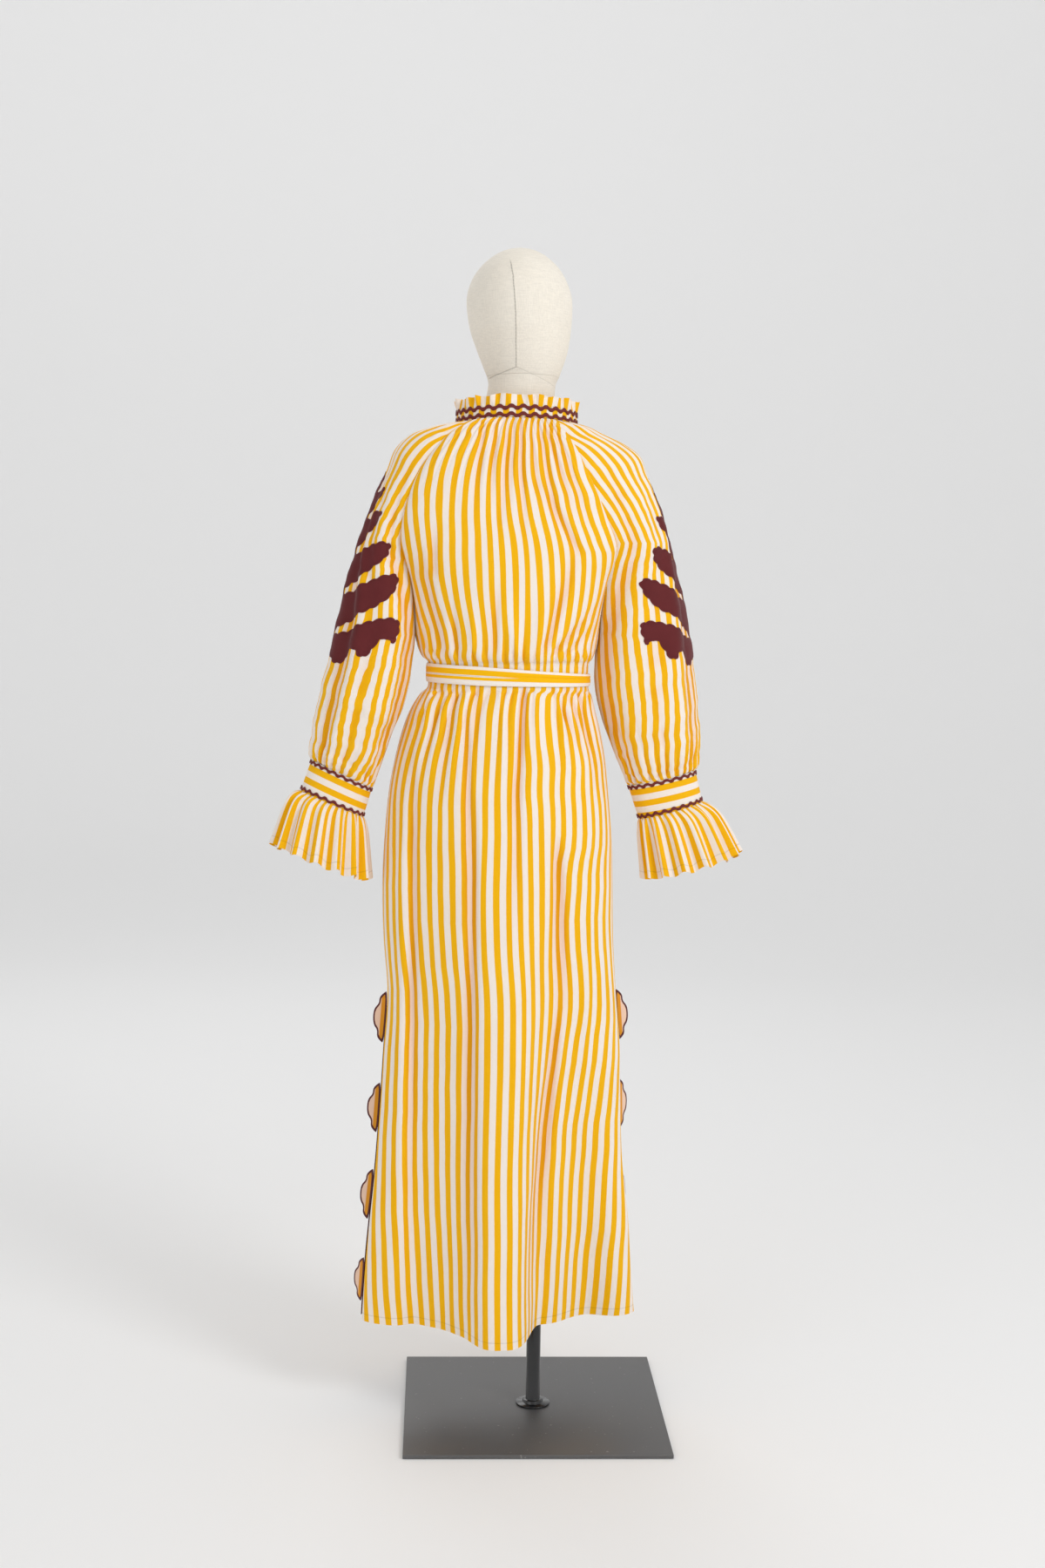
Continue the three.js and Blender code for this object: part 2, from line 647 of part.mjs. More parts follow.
// Leaf branch cut out of a wall that is parallel to the sleeve
function applique(name, side) {
  const surface = side > 0 ? leftSurface : rightSurface;
  const mirror = BRANCH.slice(1).reverse().map(([out, down]) => [-out, down]);
  const outline = [...BRANCH, BRANCH_END, ...mirror].map(([out, down]) => new THREE.Vector2(out, down));
  const low = [];
  const high = [];
  outline.forEach(({ x, y }) => {
    const row = branchRow(y);
    const u = branchPlace(surface, x, row);
    const dir = sleeveDir(side, u, row);
    low.push(surface(u, row).addScaledVector(dir, -4));
    high.push(surface(u, row).addScaledVector(dir, 45));
  });
  const n = outline.length;
  const index = [];
  for (const [a, b, c] of THREE.ShapeUtils.triangulateShape(outline, [])) {
    index.push(a, b, c, a + n, c + n, b + n);
  }
  for (let i = 0; i < n; i += 1) {
    const k = (i + 1) % n;
    index.push(k, i, i + n, k, i + n, k + n);
  }
  const cutter = new THREE.BufferGeometry();
  cutter.setAttribute('position', new THREE.Float32BufferAttribute(
    [...low, ...high].flatMap((p) => p.toArray()), 3));
  cutter.setIndex(index);
  turnOutward(cutter);
  const wall = toSolid(sleeveWall(side, SEAM + TRIM, TRIM));
  return named(name, fromSolid(wall.intersect(toSolid(cutter))), MAROON);
}

// Ring surface of a cuff or flounce, u runs round it
function ringPoint(table, u, row, out = 0) {
  const [xi, zi, xo, zo, half] = rowAt(table, row);
  const a = 2 * Math.PI * u;
  const reach = (1 - Math.cos(a)) / 2;
  const width = Math.hypot(xo - xi, zo - zi);
  const grow = out / width;
  const t = mix(-grow, 1 + grow, reach);
  return vec(mix(xi, xo, t), -11.5 + (half + out) * Math.sin(a), mix(zi, zo, t));
}

function ringDir(table, u, row, side) {
  return squareTo((a, b) => ringPoint(table, a, b), u, row, table.length - 1, true, side);
}

function band(name, table, side) {
  const sheet = new Sheet(CLOTH);
  const rings = [0, 1].map((row) => {
    const ids = [];
    for (let j = 0; j <= 28; j += 1) {
      const u = (j % 28) / 28;
      ids.push({ id: sheet.vertex(ringPoint(table, u, row), ringDir(table, u, row, side)), u: j / 28 });
    }
    return ids;
  });
  sheet.strip(rings[0], rings[1], side);
  return named(name, sheet.geometry(), STRIPED);
}

function flounce(name, table, side) {
  const sheet = new Sheet(CLOTH);
  const depths = [0, 4.5, 8.5];
  const columns = 4 * FLOUNCE_WAVES;
  let above = null;
  for (let row = 0; row < table.length; row += 1) {
    const ids = [];
    for (let j = 0; j <= columns; j += 1) {
      const u = (j % columns) / columns;
      const dir = ringDir(table, u, row, side);
      const point = ringPoint(table, u, row);
      point.addScaledVector(dir, depths[row] * Math.sin(2 * Math.PI * FLOUNCE_WAVES * u + 0.25 * Math.PI));
      ids.push({ id: sheet.vertex(point, dir), u: j / columns });
    }
    if (above) {
      sheet.strip(above, ids, side);
    }
    above = ids;
  }
  return named(name, sheet.geometry(), STRIPED);
}

// Angle round the neck, from one side of the front slit to the other
const neckAngle = (u) => mix(-90 + NECK_SEAMS.slit, 270 - NECK_SEAMS.slit, u);

function neckDir(deg) {
  return vec(Math.cos(radians(deg)) / NECK.rx, Math.sin(radians(deg)) / NECK.ry, 0).normalize();
}

function neckband() {
  const sheet = new Sheet(CLOTH);
  const rings = [SEAM / 2, NECK.band].map((up) => {
    const ids = [];
    for (let j = 0; j <= 38; j += 1) {
      const deg = neckAngle(j / 38);
      ids.push({ id: sheet.vertex(neckPoint(deg, up, 0), neckDir(deg)), u: j / 38 });
    }
    return ids;
  });
  sheet.strip(rings[1], rings[0], -1);
  return named('neckband', sheet.geometry(), STRIPED);
}

function neckRuffle() {
  const sheet = new Sheet(1.2);
  const columns = 4 * RUFFLE_WAVES;
  const rings = [[0, 0, 0], [1, 4.6, 1.5]].map(([t, depth, lean]) => {
    const ids = [];
    for (let j = 0; j <= columns; j += 1) {
      const u = j / columns;
      const deg = neckAngle(u);
      const dir = neckDir(deg);
      const wave = depth * Math.sin(2 * Math.PI * RUFFLE_WAVES * u + 0.25 * Math.PI);
      const point = neckPoint(deg, NECK.band + SEAM + t * NECK.ruffle, 0);
      point.addScaledVector(dir, wave - lean);
      ids.push({ id: sheet.vertex(point, dir), u });
    }
    return ids;
  });
  sheet.strip(rings[1], rings[0], -1);
  return named('neck_ruffle', sheet.geometry(), STRIPED);
}

// Solid along a line of sections that have the same number of points
function alongSections(sections, closed) {
  const n = sections[0].length;
  const flat = [];
  sections.forEach((ring) => ring.forEach((p) => flat.push(p.x, p.y, p.z)));
  const index = [];
  const count = sections.length;
  for (let i = 0; i < (closed ? count : count - 1); i += 1) {
    const a = i * n;
    const b = ((i + 1) % count) * n;
    for (let j = 0; j < n; j += 1) {
      const k = (j + 1) % n;
      index.push(a + j, b + j, b + k, a + j, b + k, a + k);
    }
  }
  if (!closed) {
    const b = (count - 1) * n;
    for (let j = 1; j < n - 1; j += 1) {
      index.push(0, j, j + 1, b, b + j + 1, b + j);
    }
  }
  const geometry = new THREE.BufferGeometry();
  geometry.setAttribute('position', new THREE.Float32BufferAttribute(flat, 3));
  geometry.setIndex(index);
  turnOutward(geometry);
  geometry.computeVertexNormals();
  return geometry;
}

function turnOutward(geometry) {
  const p = geometry.attributes.position;
  const index = geometry.index.array;
  const a = vec(0, 0, 0);
  const b = vec(0, 0, 0);
  const c = vec(0, 0, 0);
  let volume = 0;
  for (let i = 0; i < index.length; i += 3) {
    a.fromBufferAttribute(p, index[i]);
    b.fromBufferAttribute(p, index[i + 1]);
    c.fromBufferAttribute(p, index[i + 2]);
    volume += a.dot(b.cross(c));
  }
  if (volume < 0) {
    for (let i = 0; i < index.length; i += 3) {
      [index[i + 1], index[i + 2]] = [index[i + 2], index[i + 1]];
    }
  }
}

// Zigzag braid on a ring: at gives a point for a share round, a rise and a lift
function ricrac(name, at, waves, closed) {
  const sections = [];
  const steps = 2 * waves;
  for (let i = 0; i <= (closed ? steps - 1 : steps); i += 1) {
    const rise = (i % 2 === 0 ? 1 : -1) * 1.7;
    const u = i / steps;
    sections.push([at(u, rise - 1.6, SEAM), at(u, rise + 1.6, SEAM), at(u, rise, SEAM + TRIM)]);
  }
  return named(name, alongSections(sections, closed), MAROON);
}

function neckRicrac(name, up) {
  const at = (u, rise, lift) => {
    const deg = neckAngle(u);
    return neckPoint(deg, up + rise, 0).addScaledVector(neckDir(deg), lift + 0.25);
  };
  return ricrac(name, at, NECK_RICRAC_WAVES, false);
}

function cuffRicrac(name, table, row) {
  const at = (u, rise, lift) => ringPoint(table, u, row + rise / 48, lift + 0.75);
  return ricrac(name, at, CUFF_RICRAC_WAVES, true);
}

// Centre height of the belt at x
const beltZ = (x) => 1148.5 - 9 * (181 - x) / 252;

function belt() {
  const sections = [];
  const n = 36;
  for (let i = 0; i < n; i += 1) {
    const a = 2 * Math.PI * i / n;
    const ring = [];
    for (const [up, out] of [[-14, 1.3], [14, 1.3], [14, 3.1], [0, 3.8], [-14, 3.1]]) {
      const x = 54.75 + (122.25 + out) * Math.cos(a);
      const deep = Math.sin(a) > 0 ? 87.5 : 91.5;
      ring.push(vec(x, -6 + (deep + out) * Math.sin(a), beltZ(x) + up));
    }
    sections.push(ring);
  }
  return named('belt', alongSections(sections, true), STRIPED);
}

function beltKnot() {
  const sections = [];
  for (const [dx, size] of [[-17, 0.45], [-14, 0.8], [-6, 1], [6, 1], [14, 0.8], [17, 0.45]]) {
    const ring = [];
    for (let j = 0; j < 10; j += 1) {
      const a = 2 * Math.PI * j / 10;
      ring.push(vec(50 + dx, -107.8 + 6 * size * Math.cos(a), 1144 + 15 * size * Math.sin(a)));
    }
    sections.push(ring);
  }
  return named('belt_knot', alongSections(sections, false), STRIPED);
}

// Belt end that hangs over the front from the knot
function beltTail(name, side) {
  const sections = [];
  for (let i = 0; i <= 8; i += 1) {
    const t = i / 8;
    const x = 50 + side * mix(9, 26, t ** 0.7);
    const z = mix(1131, 915, t);
    const y = mix(-111.1, -136, t ** 0.6);
    const half = mix(9, 14, Math.min(1, 3 * t));
    const lead = i === 8 ? 8 * side : 0;
    sections.push([
      vec(x - half, y, z - lead), vec(x + half, y, z + lead),
      vec(x + half, y - CLOTH, z + lead), vec(x - half, y - CLOTH, z - lead),
    ]);
  }
  return named(name, alongSections(sections, false), STRIPED);
}

function formPart(name, table, columns) {
  const sections = table.map(([z, x, width, y, depth]) => {
    const ring = [];
    for (let j = 0; j < columns; j += 1) {
      const a = 2 * Math.PI * j / columns;
      ring.push(vec(x + width * Math.cos(a), y + depth * Math.sin(a), z));
    }
    return ring;
  });
  return named(name, alongSections(sections, false), LINEN);
}

function pole() {
  const { radius, collar, flange, top } = POLE;
  const base = PLATE.thick;
  const profile = [
    [0, base], [flange, base], [flange, base + 3], [collar, base + 3], [collar, base + 8],
    [radius, base + 8], [radius, top], [0, top],
  ].map(([r, z]) => new THREE.Vector2(r, z));
  const geometry = new THREE.LatheGeometry(profile, 16);
  geometry.rotateX(Math.PI / 2);
  return named('pole', geometry, BLACK, 0, 0.2);
}

function basePlate() {
  const geometry = new THREE.BoxGeometry(PLATE.side, PLATE.side, PLATE.thick);
  geometry.translate(0, 0, PLATE.thick / 2);
  geometry.rotateZ(radians(PLATE.turn));
  return named('base_plate', geometry, STEEL, 0.8, 0.4);
}

const kaftan = new THREE.Group();
kaftan.name = 'kaftan_on_dress_form';
kaftan.add(
  panel('back', 1),
  panel('front', -1),
  named('sleeve_left', sleeveWall(1, 0, CLOTH), STRIPED),
  named('sleeve_right', sleeveWall(-1, 0, CLOTH), STRIPED),
  applique('applique_left', 1),
  applique('applique_right', -1),
  band('cuff_left', CUFF_LEFT, 1),
  band('cuff_right', CUFF_RIGHT, -1),
  flounce('flounce_left', FLOUNCE_LEFT, 1),
  flounce('flounce_right', FLOUNCE_RIGHT, -1),
  neckband(),
  neckRuffle(),
  neckRicrac('neck_ricrac_lower', 3.4),
  neckRicrac('neck_ricrac_upper', 13.4),
  cuffRicrac('cuff_ricrac_left_upper', CUFF_LEFT, 0.1),
  cuffRicrac('cuff_ricrac_left_lower', CUFF_LEFT, 0.9),
  cuffRicrac('cuff_ricrac_right_upper', CUFF_RIGHT, 0.1),
  cuffRicrac('cuff_ricrac_right_lower', CUFF_RIGHT, 0.9),
  belt(),
  beltKnot(),
  beltTail('belt_tail_left', 1),
  beltTail('belt_tail_right', -1),
  formPart('form_torso', TORSO, 16),
  formPart('form_head', HEAD, 16),
  pole(),
  basePlate(),
);

export default kaftan;
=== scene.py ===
import math

import bmesh
import bpy
import numpy as np
from bpy.props import FloatProperty, FloatVectorProperty, IntProperty, PointerProperty
from bpy.types import Operator, Panel, PropertyGroup
from mathutils import Matrix, Vector
from mathutils.geometry import delaunay_2d_cdt


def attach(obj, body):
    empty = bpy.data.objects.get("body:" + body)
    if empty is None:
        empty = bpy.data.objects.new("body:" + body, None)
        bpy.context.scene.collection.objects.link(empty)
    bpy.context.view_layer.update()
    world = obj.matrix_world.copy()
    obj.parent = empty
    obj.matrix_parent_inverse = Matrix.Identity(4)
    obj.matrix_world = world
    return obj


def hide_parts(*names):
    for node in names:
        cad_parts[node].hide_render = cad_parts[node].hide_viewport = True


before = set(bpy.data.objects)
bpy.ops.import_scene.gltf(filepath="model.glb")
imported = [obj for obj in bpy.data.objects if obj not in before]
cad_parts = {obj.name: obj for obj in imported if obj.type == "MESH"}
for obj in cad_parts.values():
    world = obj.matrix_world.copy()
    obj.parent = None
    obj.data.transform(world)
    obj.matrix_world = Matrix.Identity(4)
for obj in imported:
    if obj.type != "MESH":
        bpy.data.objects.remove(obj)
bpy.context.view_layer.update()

bl_info = {
    "name": "Striped kaftan on a dress form",
    "version": (1, 0, 0),
    "blender": (4, 5, 0),
    "location": "3D View > Sidebar > Kaftan",
    "description": "Sews the kaftan, dresses the form and lights the stage",
    "category": "Add Mesh",
}

MM = 0.001


def linear(red, green, blue):
    """Paint colour from 0 to 255 as the light values that Blender wants."""
    shares = [c / 255 for c in (red, green, blue)]
    return tuple(c / 12.92 if c <= 0.04045 else ((c + 0.055) / 1.055) ** 2.4 for c in shares)


# The pattern of the garment, in millimetres, as in the part's source

NECK = {"x": 47.5, "y": -8, "rx": 90.5, "ry": 70, "side": 1522.5, "back": 5.5, "front": 17}
NECK_BAND = 15.5
NECK_FRILL = 18
NECK_SEAMS = {"back": (35.7, 124.7), "front": (-40, -140)}
NECK_SLIT = 1.5
NECK_ROUND = 507
NECK_SLIT_ROW = 6
UNDERARM_ROW = 12
SLIT_ROW = 26
HEM_ROW = 34
HEM_HEIGHT = 145
CUFF_DEPTH = -11.5
BELT = {"x": 54.75, "y": -6, "rx": 122.25, "back": 87.5, "front": 91.5, "half": 14, "round": 690}
KNOT = (50, -107.8, 1144)
WAVES = {"flounce": 15, "frill": 22, "neck braid": 32, "cuff braid": 22}
SIDES = ((1, "left"), (-1, "right"))

BACK_TOP = [
    # left x, y, z, right x, y, z, middle y, z
    [121, 33, 1521.5, -4, 50, 1526.5, 61, 1528],
    [139, 42, 1512, -10, 56, 1517, 70, 1519],
    [156, 49, 1501, -20, 61, 1503, 78, 1506],
    [172, 54, 1484, -32, 65, 1484, 84, 1488],
    [192, 56, 1459, -46, 68, 1457, 89, 1462],
    [205, 57, 1434, -57, 69, 1434, 92, 1437],
    [214, 56, 1410, -68, 69, 1410, 95, 1411],
    [222, 52, 1380, -81, 67, 1380, 98, 1380],
    [225, 45, 1345, -96, 60, 1345, 100, 1345],
    [218, 36, 1317, -95, 48, 1317, 100, 1317],
    [208, 25, 1288, -88, 33, 1288, 99, 1288],
    [201, 11, 1248, -83, 14, 1248, 98, 1248],
    [198, -6, 1205, -82, -6, 1210, 97, 1207],
]
FRONT_TOP = [
    # left x, y, z, right x, y, z, middle y, z
    [117, -53, 1515, -22, -53, 1515, -78, 1505.5],
    [132, -61, 1506, -38, -61, 1506, -86, 1495],
    [147, -67, 1493, -53, -67, 1493, -93, 1483],
    [161, -73, 1475, -67, -73, 1475, -100, 1466],
    [177, -78, 1450, -83, -78, 1450, -106, 1443],
    [189, -80, 1426, -95, -80, 1426, -110, 1420],
    [199, -80, 1401, -105, -80, 1401, -113, 1396],
    [208, -76, 1372, -114, -76, 1372, -116, 1370],
    [212, -68, 1340, -118, -68, 1340, -118, 1340],
    [211, -57, 1313, -113, -57, 1313, -119, 1314],
    [206, -42, 1286, -104, -42, 1286, -119, 1287],
    [201, -24, 1248, -92, -24, 1248, -118, 1248],
    [198, -6, 1205, -82, -6, 1210, -116, 1207],
]
BODY_LOW = [
    # z, left x, right x, side y, half gap of the slit, back y, front y
    [1206, 198, -82, -6, 0.15, 97, -116],
    [1186, 193, -78, -6, 0.15, 94, -113],
    [1172, 186, -73, -6, 0.15, 89, -106],
    [1164, 177.5, -68, -6, 0.15, 81, -97],
    [1145, 177, -67.5, -6, 0.15, 80, -96],
    [1126, 177.5, -68, -6, 0.15, 81, -97],
    [1115, 189, -73, -6, 0.15, 87, -102],
    [1090, 204, -80, -7, 0.15, 95, -108],
    [1060, 215, -88, -8, 0.15, 102, -113],
    [1020, 225, -96, -9, 0.15, 108, -117],
    [970, 234, -102, -10, 0.15, 112, -120],
    [900, 240, -109, -11, 0.15, 113, -121],
    [823, 243, -112, -12, 0.15, 108, -120],
    [740, 240, -115, -13, 0.15, 98, -118],
    [660, 233, -121, -14, 0.3, 88, -116],
    [577, 238, -129, -15, 5, 78, -114],
    [516, 241, -131, -16, 7, 71, -112],
    [435, 246, -134, -18, 8, 63, -111],
    [379, 250, -138, -19, 9, 58, -110],
    [297, 258, -148, -20, 10, 53, -109],
    [237, 263, -153, -22, 11, 49, -108],
    [165, 267, -159, -24, 12, 46, -107],
    [145, 268, -161, -24, 12, 45, -107],
]
BACK_FOLDS = [
    # x at the top, z at the top, x at the hem, width left, width right, depth, how square it is
    [78, 1000, 66, 60, 53, 78, 3.2],
    [-14, 1080, 4, 17, 15, -13, 2],
    [-22, 1040, -78, 44, 40, -33, 2],
    [186, 1040, 190, 20, 22, -14, 2],
    [120, 1020, 116, 12, 12, -8, 2],
]
FRONT_FOLDS = [
    [120, 1060, 158, 34, 34, 22, 2],
    [56, 1060, 50, 30, 30, -20, 2],
    [0, 1060, -56, 34, 34, 24, 2],
]

# Creases as lines on the cloth: each is strong at its first end and dies out at its second
BACK_CREASES = [
    # x, z at the first end, x, z at the second end, width, depth, cloth hidden in it
    [138, 1136, 166, 950, 6, -5.5, 10],
    [156, 1136, 192, 985, 5, -3.5, 7],
    [124, 1132, 150, 985, 7, 4, 0],
    [172, 1130, 204, 1010, 5, 3, 5],
    [108, 1138, 127, 1030, 6, -4, 6],
    [130, 1120, 120, 760, 7, -5, 7],
    [119, 940, 106, 160, 9, -6.5, 9],
    [78, 1135, 82, 960, 6, 3, 4],
    [40, 1139, 68, 925, 6, -8, 13],
    [52, 1000, 64, 760, 9, -4, 6],
    [28, 1135, 40, 940, 8, 4.5, 0],
    [1, 1141, -50, 1020, 6, -4.5, 8],
    [-17, 1141, -62, 1030, 6, -4, 7],
    [-6, 1136, -30, 990, 6, 3.5, 0],
    [-40, 1138, -86, 960, 7, -4, 7],
    [-58, 1136, -100, 1000, 6, 3, 5],
    [204, 1000, 202, 170, 8, -6, 9],
    [216, 960, 222, 200, 9, 5, 0],
    [-10, 900, -23, 600, 11, -8, 12],
    [-21, 640, 13, 200, 11, -7, 9],
    [-64, 820, -76, 300, 12, 4, 6],
    [16, 1178, -36, 1345, 9, -6, 11],
    [-34, 1330, 30, 1440, 9, -5, 9],
    [2, 1176, -74, 1262, 8, -5, 8],
    [30, 1178, 6, 1290, 9, 4, 0],
    [-20, 1178, -72, 1222, 7, -4, 6],
    [161, 1172, 208, 1370, 8, -4, 7],
    [176, 1290, 178, 1375, 7, -4, 6],
    [122, 1176, 128, 1260, 8, 4, 7],
    [88, 1176, 84, 1290, 8, -4, 8],
    [56, 1176, 62, 1250, 8, 4, 6],
    [140, 1178, 160, 1260, 6, -4, 6],
    [106, 1515, 118, 1375, 6, -4, 8],
    [88, 1518, 96, 1385, 6, -4, 8],
    [73, 1519, 84, 1340, 6, -4.5, 10],
    [62, 1520, 66, 1380, 5, -3.5, 7],
    [51, 1520, 50, 1330, 6, -4.5, 9],
    [38, 1520, 22, 1385, 5, -4, 8],
    [28, 1518, -2, 1340, 6, -4.5, 10],
    [14, 1516, -26, 1370, 6, -4, 8],
    [4, 1514, -60, 1350, 6, -3.5, 7],
]
FRONT_CREASES = [
    [90, 1490, 96, 1260, 9, -3, 5],
    [10, 1490, 2, 1260, 9, -3, 5],
    [70, 1498, 78, 1380, 6, -3, 6],
    [30, 1498, 16, 1380, 6, -3, 6],
    [150, 1176, 182, 1300, 8, -4, 6],
    [-16, 1176, -70, 1290, 8, -4, 6],
    [120, 1136, 136, 940, 7, -4, 8],
    [84, 1136, 90, 960, 7, 4, 5],
    [20, 1136, 2, 900, 7, -5, 9],
    [-30, 1136, -62, 960, 7, -4, 8],
    [160, 1136, 196, 990, 6, -4, 7],
]

SLEEVE_LEFT = [
    # outer line x, y, z, roundness, bulge of back and front, then underarm line x, y, z
    [138, -8, 1522.3, 0, 0, 0],
    [160, -8, 1518, 0, 0, 0],
    [181, -8, 1513, 0, 0, 0],
    [209, -8, 1502, 0, 0, 0],
    [230, -8, 1480, 0, 0, 0],
    [241, -8, 1450, 0, 0, 0],
    [252, -8, 1424, 0, 0, 0],
    [265, -8, 1390, 0.05, 4, 2],
    [279, -8, 1348, 0.15, 12, 8],
    [288, -8, 1316, 0.3, 22, 18],
    [297, -8, 1285, 0.5, 36, 32],
    [305, -8, 1247, 0.78, 52, 48],
    [315, -8, 1200, 1, 66, 64],
    [324, -9, 1162, 1, 68, 66, 201, -8, 1168],
    [333, -10, 1128, 1, 68, 66, 206, -8, 1130],
    [340, -10, 1098, 1, 66, 64, 215, -9, 1093],
    [346, -11, 1068, 1, 60, 58, 230, -10, 1058],
    [350, -12, 1043, 1, 50, 50, 243, -10, 1022],
    [352, -12, 1026, 1, 40, 40, 254, -11, 992],
    [351, -12, 1015.3, 1, 31, 31, 260, -11, 973.3],
]
SLEEVE_RIGHT = [
    [-43, -8, 1522.3, 0, 0, 0],
    [-64, -8, 1517, 0, 0, 0],
    [-86, -8, 1508, 0, 0, 0],
    [-119, -8, 1494, 0, 0, 0],
    [-143, -8, 1477, 0, 0, 0],
    [-154, -8, 1450, 0, 0, 0],
    [-166, -8, 1424, 0, 0, 0],
    [-179, -8, 1390, 0.05, 3, 2],
    [-191, -8, 1348, 0.15, 10, 8],
    [-199, -8, 1316, 0.3, 20, 18],
    [-207, -8, 1285, 0.5, 34, 32],
    [-217, -8, 1247, 0.78, 52, 48],
    [-225, -8, 1202, 1, 68, 66],
    [-231, -9, 1165, 1, 70, 68, -79, -8, 1168],
    [-236, -10, 1128, 1, 70, 68, -80, -8, 1130],
    [-239, -10, 1095, 1, 68, 66, -88, -9, 1093],
    [-242, -11, 1063, 1, 62, 60, -101, -10, 1058],
    [-243, -12, 1035, 1, 52, 50, -116, -10, 1022],
    [-241, -12, 1013, 1, 40, 40, -129, -11, 995],
    [-239, -12, 1002.3, 1, 31, 31, -135, -11, 978.3],
]
CUFF_LEFT = [
    # inner side x, z, outer side x, z, half depth
    [260, 973, 351, 1015, 31],
    [273, 929, 367, 969, 31],
]
CUFF_RIGHT = [
    [-135, 978, -239, 1002, 31],
    [-153, 926, -251, 954, 31],
]
FLOUNCE_LEFT = [
    [273, 928.7, 367, 968.7, 31],
    [269, 906, 386, 953, 43],
    [265.5, 834, 408, 886, 58],
]
FLOUNCE_RIGHT = [
    [-153, 925.7, -251, 953.7, 31],
    [-154, 903, -278, 933, 43],
    [-163.5, 834, -310, 873, 58],
]
TORSO = [
    # z, centre x, half width, centre y, half depth
    [870, 62, 140, -6, 84],
    [910, 62, 164, -6, 103],
    [950, 62, 162, -6, 103],
    [1000, 61, 152, -6, 98],
    [1100, 57, 122, -6, 82],
    [1145, 55, 112, -6, 75],
    [1190, 56, 118, -6, 80],
    [1320, 52, 139, -7, 92],
    [1385, 50, 149, -8, 86],
    [1430, 49, 156, -8, 74],
    [1460, 48, 157, -8, 62],
    [1482, 48, 158, -8, 54],
    [1495, 48, 144, -8, 48],
    [1508, 48, 122, -8, 46],
    [1517.3, 48, 103, -8, 44],
    [1519, 48, 80, -8, 46],
    [1526, 47, 58, -8, 50],
    [1575, 41, 50.5, -9, 52],
    [1592, 39, 54, -10, 56],
]
HEAD = [
    [1592.3, 39, 54, -10, 56],
    [1612, 39, 61.5, -13, 68],
    [1635, 40, 69, -16, 81],
    [1665, 43, 76, -17, 92],
    [1705, 45, 79, -18, 97],
    [1732, 46, 72, -18, 91],
    [1752, 46, 60, -17, 77],
    [1768, 46, 43, -16, 56],
    [1778, 46, 25, -15, 33],
    [1783, 46, 6, -15, 8],
]
POLE = [
    # height, radius
    [6, 0.2], [6, 26.2], [6.3, 26.5], [8.7, 26.5], [9, 26.2], [9, 16.2], [9.2, 16],
    [13.7, 16], [14, 15.7], [14, 11.2], [14.3, 11], [869.6, 11], [869.6, 0.2],
]
PLATE = {"side": 0.4, "thick": 0.006, "bevel": 0.0009, "turn": -5.65}
BRANCH = [
    # out from the stem, down from the shoulder end
    [0, 0], [9, 18], [3.5, 42], [38, 24], [30, 52], [3.5, 70], [3.5, 84], [54, 58], [48, 90],
    [3.5, 122], [3.5, 138], [82, 104], [76, 150], [3.5, 186], [3.5, 202], [110, 154], [104, 206],
    [3.5, 248], [3.5, 262], [124, 220], [126, 278], [104, 256], [84, 300], [60, 268], [36, 308],
]
BRANCH_END = [0, 280]
BRANCH_ROWS = [
    # row of the sleeve, down from the shoulder end
    [5, 0], [6, 28], [7, 64], [8, 108], [9, 141], [10, 173], [11, 212], [12, 260], [13, 299], [14, 334],
]
LOBE_SIZE = (60, 20)
LOBE_ROWS = (26, 28, 30, 32)
LOBE_TURNS = {"left": (14, 20, 32, 48), "right": (14, 40, 72, 72)}
LOBE = [
    # share of the height, share of the reach
    [0, 0], [0.04, 0.3], [0.13, 0.62], [0.24, 0.6], [0.33, 0.92], [0.44, 1], [0.56, 0.98],
    [0.66, 0.88], [0.75, 0.58], [0.87, 0.6], [0.96, 0.3], [1, 0],
]


# Measuring and draping

def mix(a, b, t):
    """From a to b by the share t."""
    return a + (b - a) * t


def row_at(table, row):
    """Smooth values of a table at row numbers that may lie between its rows."""
    table = np.asarray(table, float)
    last = len(table) - 1
    row = np.asarray(row, float)
    i = np.clip(np.floor(row).astype(int), 0, last - 1)
    t = np.clip(row - i, 0, 1)[..., None]
    before, a, b, after = (table[np.clip(i + k, 0, last)] for k in (-1, 0, 1, 2))
    slope_a, slope_b = (b - before) / 2, (after - a) / 2
    t2, t3 = t * t, t * t * t
    return (a * (2 * t3 - 3 * t2 + 1) + slope_a * (t3 - 2 * t2 + t)
            + b * (3 * t2 - 2 * t3) + slope_b * (t3 - t2))


def stack(x, y, z):
    """Points from their three places."""
    return np.stack(np.broadcast_arrays(x, y, z), axis=-1).astype(float)


def unit(v):
    """Directions of length 1."""
    return v / np.maximum(np.linalg.norm(v, axis=-1, keepdims=True), 1e-9)


def wander(x, seed):
    """Slow uneven wave between about -1 and 1, the same on each run."""
    return (0.5 * np.sin(1.7 * x + seed) + 0.3 * np.sin(2.9 * x + 2.3 * seed)
            + 0.2 * np.sin(5.3 * x + 3.1 * seed))


def pleat(phase):
    """Gather across a seam: round on its ridge and pinched in its valley."""
    return 2 * np.abs(np.cos(phase / 2)) ** 0.8 - 1


def neck_point(deg, up, out):
    """Point on the neckline, so far up from it and out from it."""
    a = np.radians(deg)
    s = np.sin(a)
    z = NECK["side"] + np.where(s > 0, NECK["back"], -NECK["front"]) * s * s
    x = NECK["x"] + (NECK["rx"] + out) * np.cos(a)
    return stack(x, NECK["y"] + (NECK["ry"] + out) * s, z + up)


def neck_out(deg):
    """Directions out of the neckline."""
    a = np.radians(deg)
    return unit(stack(np.cos(a) / NECK["rx"], np.sin(a) / NECK["ry"], 0))


